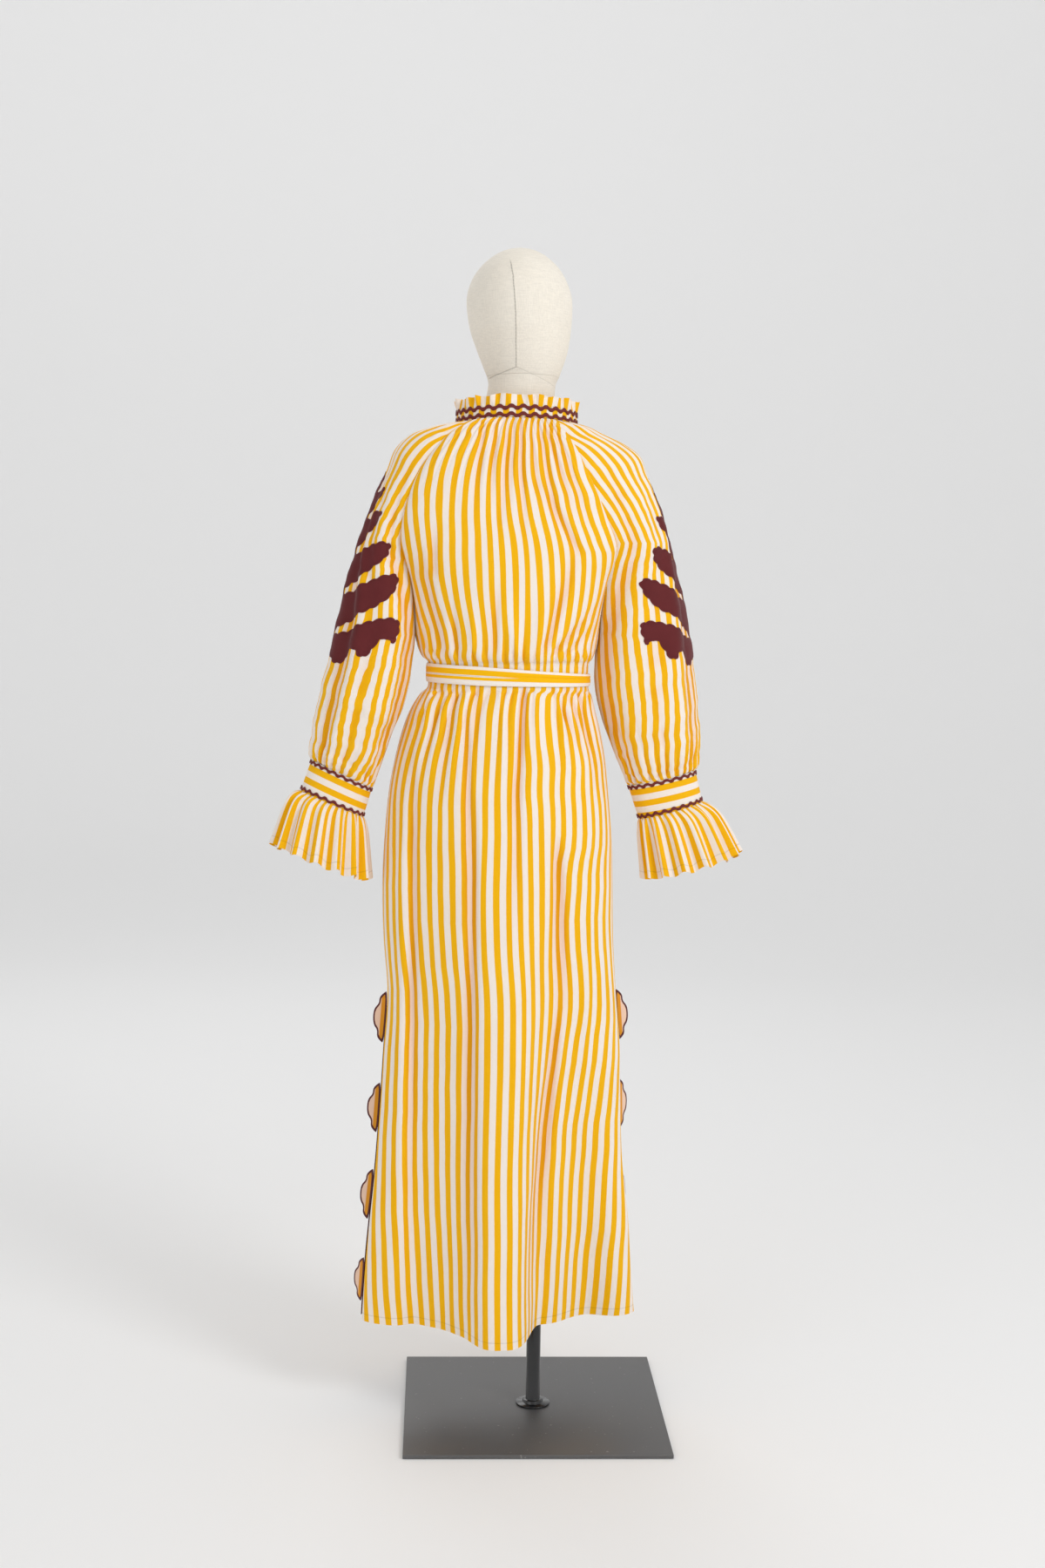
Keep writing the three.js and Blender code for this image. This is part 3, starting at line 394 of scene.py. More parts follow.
def hanging(folds, x, z):
    """Depth of the long folds of the skirt, deepest at the hem."""
    depth = np.zeros(np.broadcast(x, z).shape)
    for x_top, z_top, x_hem, left, right, amount, square in folds:
        t = np.clip((z_top - z) / (z_top - HEM_HEIGHT), 0, 1)
        off = x - mix(x_top, x_hem, t)
        width = np.where(off > 0, left, right)
        depth = depth + amount * t ** 1.3 * np.exp(-np.abs(off / width) ** square)
    return depth


def crease_lines(creases, x, z):
    """For each crease: its strength here, how far beside it this is, its depth and hidden cloth."""
    for x0, z0, x1, z1, width, depth, hidden in creases:
        t = (z - z0) / (z1 - z0)
        inner = np.clip(t, 0, 1)
        line = mix(x0, x1, inner) + 3 * np.sin(3 * inner + x0) - 3 * np.sin(x0)
        start = np.clip(t * 6 + 0.3, 0, 1)
        off = (x - line) / (width * (0.75 + 0.7 * inner))
        if 1110 < z0 < 1190:
            held = np.clip(0.5 + math.copysign(0.1, z1 - z0) * (z - 1146), 0, 1)
        else:
            held = 1.0 if z0 > 1500 else np.clip(2.5 * t, 0, 1)
        swallowed = hidden * held * np.clip(1 - 0.7 * t, 0, 1)
        yield start * np.clip((1 - t) * 1.8, 0, 1), off, depth, swallowed


def creased(creases, x, z):
    """Depth of all creases: a narrow furrow or ridge with one steeper side."""
    depth = np.zeros(np.broadcast(x, z).shape)
    for strength, off, amount, _ in crease_lines(creases, x, z):
        depth = depth + amount * strength * np.exp(-np.where(off > 0, 1.0, 1.7) * off ** 2)
    return depth


def tucked(creases, x, z):
    """Width of cloth that the creases swallow, counted from the panel's middle."""
    width = np.zeros(np.broadcast(x, z).shape)
    for _, off, _, hidden in crease_lines(creases, x, z):
        width = width + hidden * 0.5 * (1 - np.tanh(1.1 * off))
    return width - width[:, [width.shape[1] // 2]]


def body_cloth(face, u, row):
    """Smooth surface of a body panel: face is 1 for the back and -1 for the front."""
    u, row = np.broadcast_arrays(np.asarray(u, float), np.asarray(row, float))
    m = 0.55 * u + 0.225 * (1 - np.cos(np.pi * u))
    arch = np.sqrt(np.clip(1 - (1 - 2 * m) ** 2, 0, 1))
    top = row_at(BACK_TOP if face > 0 else FRONT_TOP, np.minimum(row, UNDERARM_ROW))
    y = mix(top[..., 1], top[..., 4], m)
    z = mix(top[..., 2], top[..., 5], m)
    high = stack(mix(top[..., 0], top[..., 3], m), y + (top[..., 6] - y) * arch,
                 z + (top[..., 7] - z) * arch)
    deg = mix(*NECK_SEAMS["back" if face > 0 else "front"], u)
    pull = (np.clip(1 - row, 0, 1) ** 2)[..., None]
    high = mix(high, neck_point(deg, -0.9, 0), pull)
    low = row_at(BODY_LOW, np.maximum(row - UNDERARM_ROW, 0))
    z = low[..., 0]
    x = mix(low[..., 1], low[..., 2], m)
    side = low[..., 3] + face * low[..., 4]
    depth = hanging(BACK_FOLDS if face > 0 else FRONT_FOLDS, x, z) * np.minimum(1, arch * 1.6)
    flat = 1 + (0.15 if face > 0 else 0.8) * np.clip((700 - z) / 150, 0, 1)
    bow = low[..., 5] if face > 0 else low[..., 6]
    droop = 0.1 * np.maximum(depth, 0) * np.clip((500 - z) / (500 - HEM_HEIGHT), 0, 1)
    lower = stack(x, side + (bow - side) * arch ** flat + face * depth, z - droop)
    return np.where((row <= UNDERARM_ROW)[..., None], high, lower)


def sleeve_table(side):
    """Rows of a sleeve: back seam, outer line, front seam, roundness and bulges."""
    seam = slice(0, 3) if side > 0 else slice(3, 6)
    table = []
    for i, row in enumerate(SLEEVE_LEFT if side > 0 else SLEEVE_RIGHT):
        back = BACK_TOP[i][seam] if i <= UNDERARM_ROW else row[6:]
        front = FRONT_TOP[i][seam] if i <= UNDERARM_ROW else row[6:]
        table.append([*back, *row[:3], *front, *row[3:6]])
    return table


def sleeve_cloth(side, u, row):
    """Smooth surface of a sleeve, u from the back seam over the outer line to the front seam."""
    u, row = np.broadcast_arrays(np.asarray(u, float), np.asarray(row, float))
    t = row_at(sleeve_table(side), row)
    behind = (u < 0.5)[..., None]
    seam = np.where(behind, t[..., 0:3], t[..., 6:9])
    bulge = np.where(behind[..., 0], t[..., 10], -t[..., 11])
    a = np.where(u < 0.5, u, 1 - u) * np.pi
    ring = t[..., 9]
    reach = mix(np.sin(a), (1 - np.cos(2 * a)) / 2, ring)
    fall = mix(np.cos(a), (1 + np.cos(2 * a)) / 2, ring)
    point = stack(mix(seam[..., 0], t[..., 3], reach),
                  mix(t[..., 4], seam[..., 1], fall) + bulge * np.sin(2 * a),
                  mix(seam[..., 2], t[..., 5], reach))
    back, front = NECK_SEAMS["back"], NECK_SEAMS["front"]
    angles = (back[0], 0, front[0]) if side > 0 else (back[1], 180, 360 + front[1])
    deg = np.interp(u, [0, 0.5, 1], angles)
    pull = (np.clip(1 - row, 0, 1) ** 2)[..., None]
    return mix(point, neck_point(deg, -0.9, 0), pull)


def square_to(surface, u, row, sign, rows, wrap=False):
    """Directions square to a surface, from small steps along both of its ways."""
    e, h = 0.004, 0.03
    if wrap:
        across = surface((u + e) % 1, row) - surface((u - e) % 1, row)
    else:
        across = surface(np.minimum(u + e, 1), row) - surface(np.maximum(u - e, 0), row)
    down = surface(u, np.minimum(row + h, rows)) - surface(u, np.maximum(row - h, 0))
    return unit(np.cross(across, down)) * sign


def body_out(face, u, row):
    """Directions out of a body panel."""
    return square_to(lambda a, b: body_cloth(face, a, b), u, row, -face, HEM_ROW)


def body_surface(face, u, row, gathers=True):
    """Body panel with its creases, and with its gathers at the neck and the belt."""
    u, row = np.broadcast_arrays(np.asarray(u, float), np.asarray(row, float))
    base = body_cloth(face, u, row)
    x, z = base[..., 0], base[..., 2]
    beside = np.minimum(u, 1 - u)
    if face < 0:
        beside = np.minimum(beside, np.where(row < NECK_SLIT_ROW + 1, np.abs(u - 0.5), 1))
    edge = np.clip(10 * beside, 0, 1)
    flat_under_belt = np.interp(row, [0, 14.5, 15.3, 16.7, 17.5, 34], [1, 1, 0, 0, 1, 1])
    lift = creased(BACK_CREASES if face > 0 else FRONT_CREASES, x, z) * flat_under_belt
    if gathers:
        neck = np.interp(row, [0, 0.4, 1.2, 2.2, 3.5, 5.5, 7], [0.2, 0.6, 1, 0.8, 0.5, 0.2, 0])
        lift = lift + 1.7 * neck * pleat(2 * np.pi * 19 * u + 3.4 * wander(8 * u, 1.3 + face))
        belt = np.interp(row, [11, 12.6, 13.6, 14.7, 15.4, 16.6, 17.3, 18.3, 19.2, 21, 22.5],
                         [0, 0.5, 1, 0.65, 0, 0, 0.65, 1, 0.75, 0.3, 0])
        lift = lift + 2.4 * belt * pleat(2 * np.pi * 17 * u + 4 * wander(9 * u, 4.1 + face) + 0.02 * x)
    loose = np.interp(row, [3, 6, 13, 14, 18, 20, 34], [0, 1, 1, 0, 0, 1, 1])
    lift = lift + 0.8 * loose * wander(z / 55 + x / 30, 2)
    return base + body_out(face, u, row) * (lift * edge)[..., None]


def sleeve_out(side, u, row):
    """Directions out of a sleeve."""
    return square_to(lambda a, b: sleeve_cloth(side, a, b), u, row, side, len(SLEEVE_LEFT) - 1)


def sleeve_surface(side, u, row, gathers=True):
    """Sleeve with its long folds, and with its gathers at the neck and the cuff."""
    u, row = np.broadcast_arrays(np.asarray(u, float), np.asarray(row, float))
    edge = np.clip(8 * np.minimum(u, 1 - u), 0, 1)
    long = np.interp(row, [3, 7, 12, 16, 18, 19], [0, 0.5, 1, 1, 0.5, 0.1])
    turn = 2 * np.pi * 6 * u + 0.12 * row + 1.4 * wander(5 * u, 2.2 + side)
    lift = 3.2 * long * (np.sin(turn) + 0.9 * pleat(turn * 0.5 + 1.1) - 0.25) * edge
    below_shoulder = np.interp(row, [4, 7, 19], [0, 1, 1])
    lift = lift + 1.2 * below_shoulder * wander(2 * row + 9 * u, 3 + side) * edge
    if gathers:
        neck = np.interp(row, [0, 0.4, 1.2, 3, 4], [0.3, 0.8, 1, 0.3, 0])
        lift = lift + 1.6 * neck * pleat(2 * np.pi * 9 * u + 2 * wander(6 * u, 5)) * edge
        cuff = np.interp(row, [14.5, 16, 17.4, 18.5, 19], [0, 0.25, 0.7, 1, 0.35])
        lift = lift + 2.9 * cuff * pleat(2 * np.pi * 25 * u + 2.4 * wander(8 * u, 6 + side))
    return sleeve_cloth(side, u, row) + sleeve_out(side, u, row) * lift[..., None]


def ring_point(table, u, row, out=0.0):
    """Point round a cuff or flounce, so far out from its table."""
    t = row_at(table, row)
    a = 2 * np.pi * np.asarray(u, float)
    xi, zi, xo, zo, half = (t[..., k] for k in range(5))
    grow = out / np.hypot(xo - xi, zo - zi)
    s = mix(-grow, 1 + grow, (1 - np.cos(a)) / 2)
    return stack(mix(xi, xo, s), CUFF_DEPTH + (half + out) * np.sin(a), mix(zi, zo, s))


def along(points, axis):
    """Distance run along a grid's rows or columns."""
    steps = np.linalg.norm(np.diff(points, axis=axis), axis=-1)
    start = np.zeros_like(np.take(steps, [0], axis=axis))
    return np.concatenate([start, np.cumsum(steps, axis=axis)], axis=axis)


# Meshes

def new_piece(name, points, faces, flat, material, values=None):
    """A mesh object from points in millimetres, with the cloth's flat measures as its map."""
    mesh = bpy.data.meshes.new(name)
    mesh.from_pydata((np.asarray(points) * MM).tolist(), [], faces)
    loops = np.empty(len(mesh.loops), dtype=np.int32)
    mesh.loops.foreach_get("vertex_index", loops)
    if flat is not None:
        layer = mesh.uv_layers.new(name="cloth")
        layer.data.foreach_set("uv", np.asarray(flat, dtype=np.float32)[loops].ravel())
    for key, value in (values or {}).items():
        spot = mesh.attributes.new(key, "FLOAT", "POINT")
        spot.data.foreach_set("value", np.asarray(value, dtype=np.float32))
    mesh.shade_smooth()
    mesh.set_sharp_from_angle(angle=math.radians(55))
    mesh.materials.append(material)
    mesh.update()
    piece = bpy.data.objects.new(name, mesh)
    bpy.context.scene.collection.objects.link(piece)
    return piece


def wall(name, outer, inner, faces, flat, material, values=None):
    """Closed thin wall from matching outer and inner points."""
    n = len(outer)
    seen = {}
    for face in faces:
        seen.update(dict.fromkeys(zip(face, face[1:] + face[:1])))
    both = [list(face) for face in faces]
    both += [[i + n for i in reversed(face)] for face in faces]
    both += [[b, a, a + n, b + n] for a, b in seen if (b, a) not in seen]
    twice = {key: np.concatenate([value, value]) for key, value in (values or {}).items()}
    flat = None if flat is None else np.concatenate([flat, flat])
    return new_piece(name, np.concatenate([outer, inner]), both, flat, material, twice)


def sheet_piece(name, outer, flat, thick, material, values=None, keep=None):
    """Cloth from a grid of points, rows by columns, thickened inwards."""
    rows, columns = outer.shape[:2]
    normal = unit(np.cross(np.gradient(outer, axis=1), np.gradient(outer, axis=0)))
    away = outer - outer.mean(axis=1, keepdims=True)
    if (normal * away).sum() < 0:
        normal = -normal
    index = np.arange(rows * columns).reshape(rows, columns)
    quads = np.stack([index[:-1, :-1], index[:-1, 1:], index[1:, 1:], index[1:, :-1]], axis=-1)
    a, b, d = (outer.reshape(-1, 3)[quads[..., k]] for k in (0, 1, 3))
    if (np.cross(b - a, d - a) * normal[:-1, :-1]).sum() < 0:
        quads = quads[..., ::-1]
    quads = quads.reshape(-1, 4) if keep is None else quads[keep]
    inner = outer - normal * thick
    spots = {key: np.asarray(value).ravel() for key, value in (values or {}).items()}
    return wall(name, outer.reshape(-1, 3), inner.reshape(-1, 3), quads.tolist(),
                flat.reshape(-1, 2), material, spots)


def loft(name, rings, material, closed=False, flat=None):
    """Solid along rings that have the same number of points."""
    count, n = rings.shape[:2]
    index = np.arange(count * n).reshape(count, n)
    ahead = np.roll(index, -1, axis=0) if closed else index[1:]
    here = index if closed else index[:-1]
    quads = np.stack([here, ahead, np.roll(ahead, -1, axis=1), np.roll(here, -1, axis=1)], axis=-1)
    faces = quads.reshape(-1, 4).tolist()
    if not closed:
        faces.append(index[0].tolist())
        faces.append(index[-1][::-1].tolist())
    flat = None if flat is None else np.asarray(flat).reshape(-1, 2)
    piece = new_piece(name, rings.reshape(-1, 3), faces, flat, material)
    fix = bmesh.new()
    fix.from_mesh(piece.data)
    bmesh.ops.recalc_face_normals(fix, faces=fix.faces)
    fix.to_mesh(piece.data)
    fix.free()
    return piece


def rounded(outline, times=2):
    """Outline with its corners cut off, more round each time."""
    points = np.asarray(outline, float)
    for _ in range(times):
        ahead = np.roll(points, -1, axis=0)
        pairs = np.stack([mix(points, ahead, 0.25), mix(points, ahead, 0.75)], axis=1)
        points = pairs.reshape(-1, 2)
    return points


def spaced(outline, step):
    """Closed outline with a point each step."""
    points = np.vstack([outline, outline[:1]])
    run = np.concatenate([[0], np.cumsum(np.linalg.norm(np.diff(points, axis=0), axis=1))])
    at = np.linspace(0, run[-1], int(run[-1] / step) + 1)[:-1]
    return np.stack([np.interp(at, run, points[:, k]) for k in (0, 1)], axis=1)


def inside(outline, points):
    """Which points lie inside the outline."""
    x, y = points[:, 0:1], points[:, 1:2]
    x0, y0 = outline[:, 0], outline[:, 1]
    x1, y1 = np.roll(x0, -1), np.roll(y0, -1)
    spans = (y0 > y) != (y1 > y)
    cross = x < (x1 - x0) * (y - y0) / np.where(y1 == y0, 1e-9, y1 - y0) + x0
    return (spans & cross).sum(axis=1) % 2 == 1


def cut_out(outline, step):
    """Flat cut piece: its points, triangles and distances to the cut edge."""
    low, high = outline.min(axis=0), outline.max(axis=0)
    across, down = np.meshgrid(*(np.arange(low[k], high[k], step) for k in (0, 1)))
    grid = np.stack([across, down], -1).reshape(-1, 2) + 0.13 * step
    reach = np.linalg.norm(grid[:, None] - outline[None], axis=-1).min(axis=1)
    grid = grid[inside(outline, grid) & (reach > 0.6 * step)]
    points = np.vstack([outline, grid])
    ring = list(range(len(outline)))
    made = delaunay_2d_cdt([Vector(p) for p in points.tolist()], [], [ring], 1, 1e-6)
    points = np.array([list(p) for p in made[0]])
    rim = np.linalg.norm(points[:, None] - outline[None], axis=-1).min(axis=1)
    return points, [list(f) for f in made[2]], rim


def settle(piece, nodes=(), sheet=None):
    """Every piece stands still on the form, and stands for its nodes of the frame."""
    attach(piece, "root")
    if nodes:
        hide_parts(*nodes)
    return piece


# Finishes

class Signal:
    """A node's output that plain arithmetic can use."""

    def __init__(self, graph, socket):
        self.graph = graph
        self.socket = socket

    def math(self, operation, *values, clamp=False):
        settings = {"operation": operation, "use_clamp": clamp}
        return self.graph.node("ShaderNodeMath", settings, dict(enumerate(values)))

    def __add__(self, other):
        return self.math("ADD", self, other)

    def __radd__(self, other):
        return self.math("ADD", other, self)

    def __sub__(self, other):
        return self.math("SUBTRACT", self, other)

    def __rsub__(self, other):
        return self.math("SUBTRACT", other, self)

    def __mul__(self, other):
        return self.math("MULTIPLY", self, other)

    def __rmul__(self, other):
        return self.math("MULTIPLY", other, self)

    def __truediv__(self, other):
        return self.math("DIVIDE", self, other)

    def __abs__(self):
        return self.math("ABSOLUTE", self)

    def sine(self):
        return self.math("SINE", self)

    def part(self):
        return self.math("FRACT", self)

    def clamped(self):
        return self.math("ADD", self, 0.0, clamp=True)

    def above(self, limit, soft):
        """1 where it is above the limit, 0 below, soft in between."""
        return ((self - limit) / soft + 0.5).clamped()


class Finish:
    """A material's nodes, each made by one call."""

    def __init__(self, name, **constants):
        self.material = bpy.data.materials.new(name)
        self.material.use_nodes = True
        self.tree = self.material.node_tree
        self.shader = self.tree.nodes["Principled BSDF"]
        for key, value in constants.items():
            self.shader.inputs[key.replace("_", " ")].default_value = value

    def node(self, kind, settings=None, inputs=None, output=0):
        node = self.tree.nodes.new(kind)
        for key, value in (settings or {}).items():
            setattr(node, key, value)
        for key, value in (inputs or {}).items():
            socket = node.inputs[key]
            if isinstance(value, Signal):
                self.tree.links.new(value.socket, socket)
            else:
                socket.default_value = value
        return Signal(self, node.outputs[output])

    def cloth(self):
        """Flat measures of the cloth: across and along, in millimetres."""
        spot = self.node("ShaderNodeUVMap", {"uv_map": "cloth"})
        parts = self.node("ShaderNodeSeparateXYZ", {}, {0: spot})
        return parts, Signal(self, parts.socket.node.outputs[1])

    def value(self, name):
        """Value that a mesh carries at its points."""
        return self.node("ShaderNodeAttribute", {"attribute_name": name}, {}, "Fac")

    def place(self, x=1.0, y=1.0, z=1.0):
        """Place on the object, stretched, for grain and specks."""
        spot = self.node("ShaderNodeTexCoord", {}, {}, "Object")
        return self.node("ShaderNodeVectorMath", {"operation": "MULTIPLY"}, {0: spot, 1: (x, y, z)})

    def spot(self, x, y):
        return self.node("ShaderNodeCombineXYZ", {}, {0: x, 1: y})

    def noise(self, vector, scale, detail=2.0, rough=0.5):
        inputs = {"Vector": vector, "Scale": scale, "Detail": detail, "Roughness": rough}
        return self.node("ShaderNodeTexNoise", {}, inputs, "Fac")

    def blend(self, factor, a, b):
        settings = {"data_type": "RGBA", "clamp_factor": True}
        return self.node("ShaderNodeMix", settings, {0: factor, 6: a, 7: b}, 2)

    def darker(self, colour, factor):
        grey = self.node("ShaderNodeCombineColor", {}, {0: factor, 1: factor, 2: factor})
        settings = {"data_type": "RGBA", "blend_type": "MULTIPLY"}
        return self.node("ShaderNodeMix", settings, {0: 1.0, 6: colour, 7: grey}, 2)

    def wire(self, **signals):
        for key, signal in signals.items():
            self.tree.links.new(signal.socket, self.shader.inputs[key.replace("_", " ")])

    def bump(self, height, strength, distance):
        inputs = {"Height": height, "Strength": strength, "Distance": distance}
        self.wire(Normal=self.node("ShaderNodeBump", {}, inputs))


def found(name, make):
    """The finish of that name, made once."""
    return bpy.data.materials.get(name) or make(name)


def opaque(colour):
    """Colour as a node's socket wants it."""
    return (*colour, 1.0)


COTTON = {"Roughness": 0.72, "Sheen_Weight": 0.06, "Sheen_Roughness": 0.5, "Specular_IOR_Level": 0.16}


def striped_cotton(name="striped cotton", turned=False, slit=False, hem=True):
    """Marigold and white woven stripes, with thread, slubs, crinkles and a topstitched hem, and painted
    shade in crease valleys, in gathers and along the hem's groove.
    """
    def make(title):
        sizes, colours = bpy.context.scene.kaftan_sizes, bpy.context.scene.kaftan_colours
        f = Finish(title, **COTTON)
        across, down = f.cloth()
        if turned:
            across, down = down, across
        pitch, wide = sizes.stripe_pitch / MM, sizes.stripe_width / MM
        grain = f.noise(f.spot(across * 0.9, down * 0.12), 1.0, 3.0)
        shaky = across + (grain - 0.5) * 0.5
        centre = abs((shaky / pitch + 0.5).part() * pitch - pitch / 2)
        stripe = 1 - centre.above(wide / 2, 0.5)
        tone = f.noise(f.spot(across * 0.02, down * 0.015), 1.0, 2.0)
        yellow = f.blend(tone, opaque(colours.marigold), opaque(colours.marigold_deep))
        white = f.blend(tone, opaque(colours.cream), opaque(colours.cream_warm))
        # Painted shade: where the cloth sinks into crease and gather valleys, the stripes blend towards
        # darker, warmer shade colours.
        fold_shade = f.value("fold_shade") * 0.8
        yellow = f.blend(fold_shade, yellow, opaque(colours.marigold_shade))
        white = f.blend(fold_shade, white, opaque(colours.cream_shade))
        colour = f.blend(stripe, white, yellow)
        threads = f.noise(f.spot(across * 3.0, down * 0.5), 1.0, 2.0)
        colour = f.darker(colour, 0.95 + threads * 0.08)
        stitch = 0
        if hem:
            turn = down - sizes.hem_depth / MM
            stitch = (1 - abs(turn).above(0.5, 0.4)) * (across / 3.0).part().above(0.28, 0.1)
            # Painted shade: a darker line in the groove just below the hem's topstitching.
            ditch = 1 - abs(turn + 0.8).above(0.7, 1.0)
            colour = f.darker(colour, 1 - ditch * 0.16)
        if slit:
            satin = 1 - f.value("slit").above(4.2, 0.5)
            colour = f.blend(satin, colour, opaque(colours.maroon))
        weave = (across * 9.0).sine() * (down * 9.0).sine()
        crinkle = f.noise(f.spot(across * 0.11, down * 0.05), 1.0, 3.0)
        height = weave * 0.05 + threads * 0.10 + grain * 0.12 + crinkle * 0.9
        f.bump(height + stitch * 0.3, 0.7, 0.0009)
        f.wire(Base_Color=colour, Roughness=0.66 + grain * 0.14)
        return f.material
    return found(name, make)


def maroon_cotton(name="maroon cotton", braid=False):
    """Deep maroon cotton with a satin stitched edge, with painted sheen on the satin and painted shade
    in the groove inside it and between the braid's ribs.
    """
    def make(title):
        colours = bpy.context.scene.kaftan_colours
        f = Finish(title, Roughness=0.8, Sheen_Weight=0.12, Sheen_Roughness=0.4,
                   Specular_IOR_Level=0.2)
        across, down = f.cloth()
        thread = f.noise(f.spot(across * 2.4, down * 2.4), 1.0, 3.0)
        tone = f.noise(f.spot(across * 0.03, down * 0.03), 1.0, 2.0)
        colour = f.blend(tone, opaque(colours.maroon), opaque(colours.maroon_light))
        height = thread * 0.3
        if braid:
            ribs = (across * 2.8).sine()
            height = height + ribs * 0.35
            colour = f.blend(tone, opaque(linear(112, 46, 43)), opaque(linear(124, 54, 50)))
            # Painted shade on the braid: darker in the grooves between its ribs and lighter on their
            # crests.
            colour = f.darker(colour, 0.92 + ribs * 0.08)
        else:
            satin = 1 - f.value("rim").above(2.6, 0.5)
            rows = (across * 5.0 + down * 5.0).sine()
            height = height + satin * (0.7 + rows * 0.2)
            # Painted shade in the groove inside the satin edge, and painted sheen that makes the satin
            # itself lighter.
            groove_shade = 1 - abs(f.value("rim") - 3.1).above(0.4, 0.5)
            colour = f.darker(colour, 1 - groove_shade * 0.25 + satin * 0.12)
        f.bump(height, 0.6, 0.0005)
        f.wire(Base_Color=colour, Roughness=0.72 + thread * 0.16)
        return f.material
    return found(name, make)


def linen(name="woven linen"):
    """Plain woven linen over the form, with one sewn seam down the back of the head."""
    def make(title):
        colours = bpy.context.scene.kaftan_colours
        f = Finish(title, Roughness=0.85, Sheen_Weight=0.1, Specular_IOR_Level=0.25)
        warp = f.noise(f.place(620, 620, 80), 1.0, 3.0, 0.6)
        weft = f.noise(f.place(80, 80, 660), 1.0, 3.0, 0.6)
        tone = f.noise(f.place(14, 14, 14), 1.0, 3.0)
        x = f.node("ShaderNodeSeparateXYZ", {}, {0: f.place(1000, 1000, 1000)})
        y, z = (Signal(f, x.socket.node.outputs[k]) for k in (1, 2))
        rear = y.above(0, 8)
        neck, crown = 1601, 1753
        on_head = rear * z.above(neck, 1) * (1 - z.above(crown, 8))
        waver = f.noise(f.place(70, 70, 70), 1.0, 2.0)
        beyond = abs(x - (z - 1595) * 0.076 - 56 - waver * 2)
        stitches = (z / 4.6).part().above(0.25, 0.3)
        seam = (1 - beyond.above(0.75, 0.7)) * on_head
        neck_seam = 1 - abs(z - neck + abs(x - 57) * 0.38).above(0.7, 0.7)
        neck_seam = neck_seam * (0.35 + x.above(57, 4) * 0.65) * rear
        shade = seam * (0.22 + stitches * 0.16) + neck_seam * 0.22
        colour = f.blend(tone, opaque(colours.linen), opaque(colours.linen_deep))
        threads = warp * 0.5 + weft * 0.5
        colour = f.darker(colour, 0.8 + threads * 0.44 - shade)
        beside = (1 - beyond.above(3.2, 3.0)) * on_head
        ditch = (seam + neck_seam).clamped()
        f.bump(threads * 0.8 + beside * 0.5 - ditch * 1.3, 0.7, 0.0007)
        f.wire(Base_Color=colour, Roughness=0.8 + threads * 0.12)
        return f.material
    return found(name, make)


def gloss_black(name="gloss black paint"):
    """Black paint on the turned pole, a little hazy."""
    def make(title):
        f = Finish(title, Roughness=0.18, Coat_Weight=0.4, Coat_Roughness=0.08)
        haze = f.noise(f.place(60, 60, 12), 1.0, 3.0)
        black = bpy.context.scene.kaftan_colours.pole
        colour = f.blend(haze, opaque(black), opaque(linear(34, 34, 36)))
        f.bump(f.noise(f.place(500, 500, 500), 1.0, 2.0), 0.08, 0.0002)
        f.wire(Base_Color=colour, Roughness=0.14 + haze * 0.12)
        return f.material
    return found(name, make)


def satin_steel(name="satin dark steel"):
    """Dark satin steel of the base plate, cloudy and lightly dusted."""
    def make(title):
        colours = bpy.context.scene.kaftan_colours
        f = Finish(title, Metallic=0.55, Roughness=0.42)
        cloud = f.noise(f.place(9, 9, 9), 1.0, 4.0, 0.6)
        grain = f.noise(f.place(700, 700, 700), 1.0, 2.0)
        specks = f.noise(f.place(160, 160, 160), 1.0, 1.0).above(0.75, 0.03)
        colour = f.blend(cloud, opaque(colours.steel), opaque(colours.steel_light))
        colour = f.blend(specks * 0.6, colour, opaque(linear(160, 158, 154)))
        f.bump(grain + specks * 0.6, 0.12, 0.0003)
        f.wire(Base_Color=colour, Roughness=0.36 + cloud * 0.16 + grain * 0.06)
        return f.material
    return found(name, make)


def studio_paper(name="studio paper"):
    """Pale paper of the floor and backdrop."""
    def make(title):
        f = Finish(title, Roughness=0.9, Specular_IOR_Level=0.1)
        tone = f.noise(f.place(0.4, 0.4, 0.4), 1.0, 2.0)
        colour = bpy.context.scene.kaftan_colours.floor
        f.wire(Base_Color=f.blend(tone, opaque(colour), opaque(tuple(0.985 * c for c in colour))))
        return f.material
    return found(name, make)


# Sizes and colours that a user may change

def measure(name, description, default, least):
    """A length in metres."""
    return FloatProperty(name=name, description=description, default=default, min=least, unit="LENGTH")


def paint(name, description, *rgb):
    """A colour, given from 0 to 255."""
    return FloatVectorProperty(name=name, description=description, subtype="COLOR", default=linear(*rgb))


class KaftanSizes(PropertyGroup):
    stripe_pitch: measure("Stripe pitch", "From one marigold stripe to the next", 0.019, 0.004)
    stripe_width: measure("Stripe width", "Width of a marigold stripe", 0.0095, 0.001)
    cloth: measure("Cloth", "Thickness of the cotton", 0.001, 0.0004)
    hem_depth: measure("Hem", "Height of the topstitched hem", 0.012, 0.004)
    columns: IntProperty(
        name="Columns", description="Columns of the body panels' mesh", default=196, min=40, max=240)


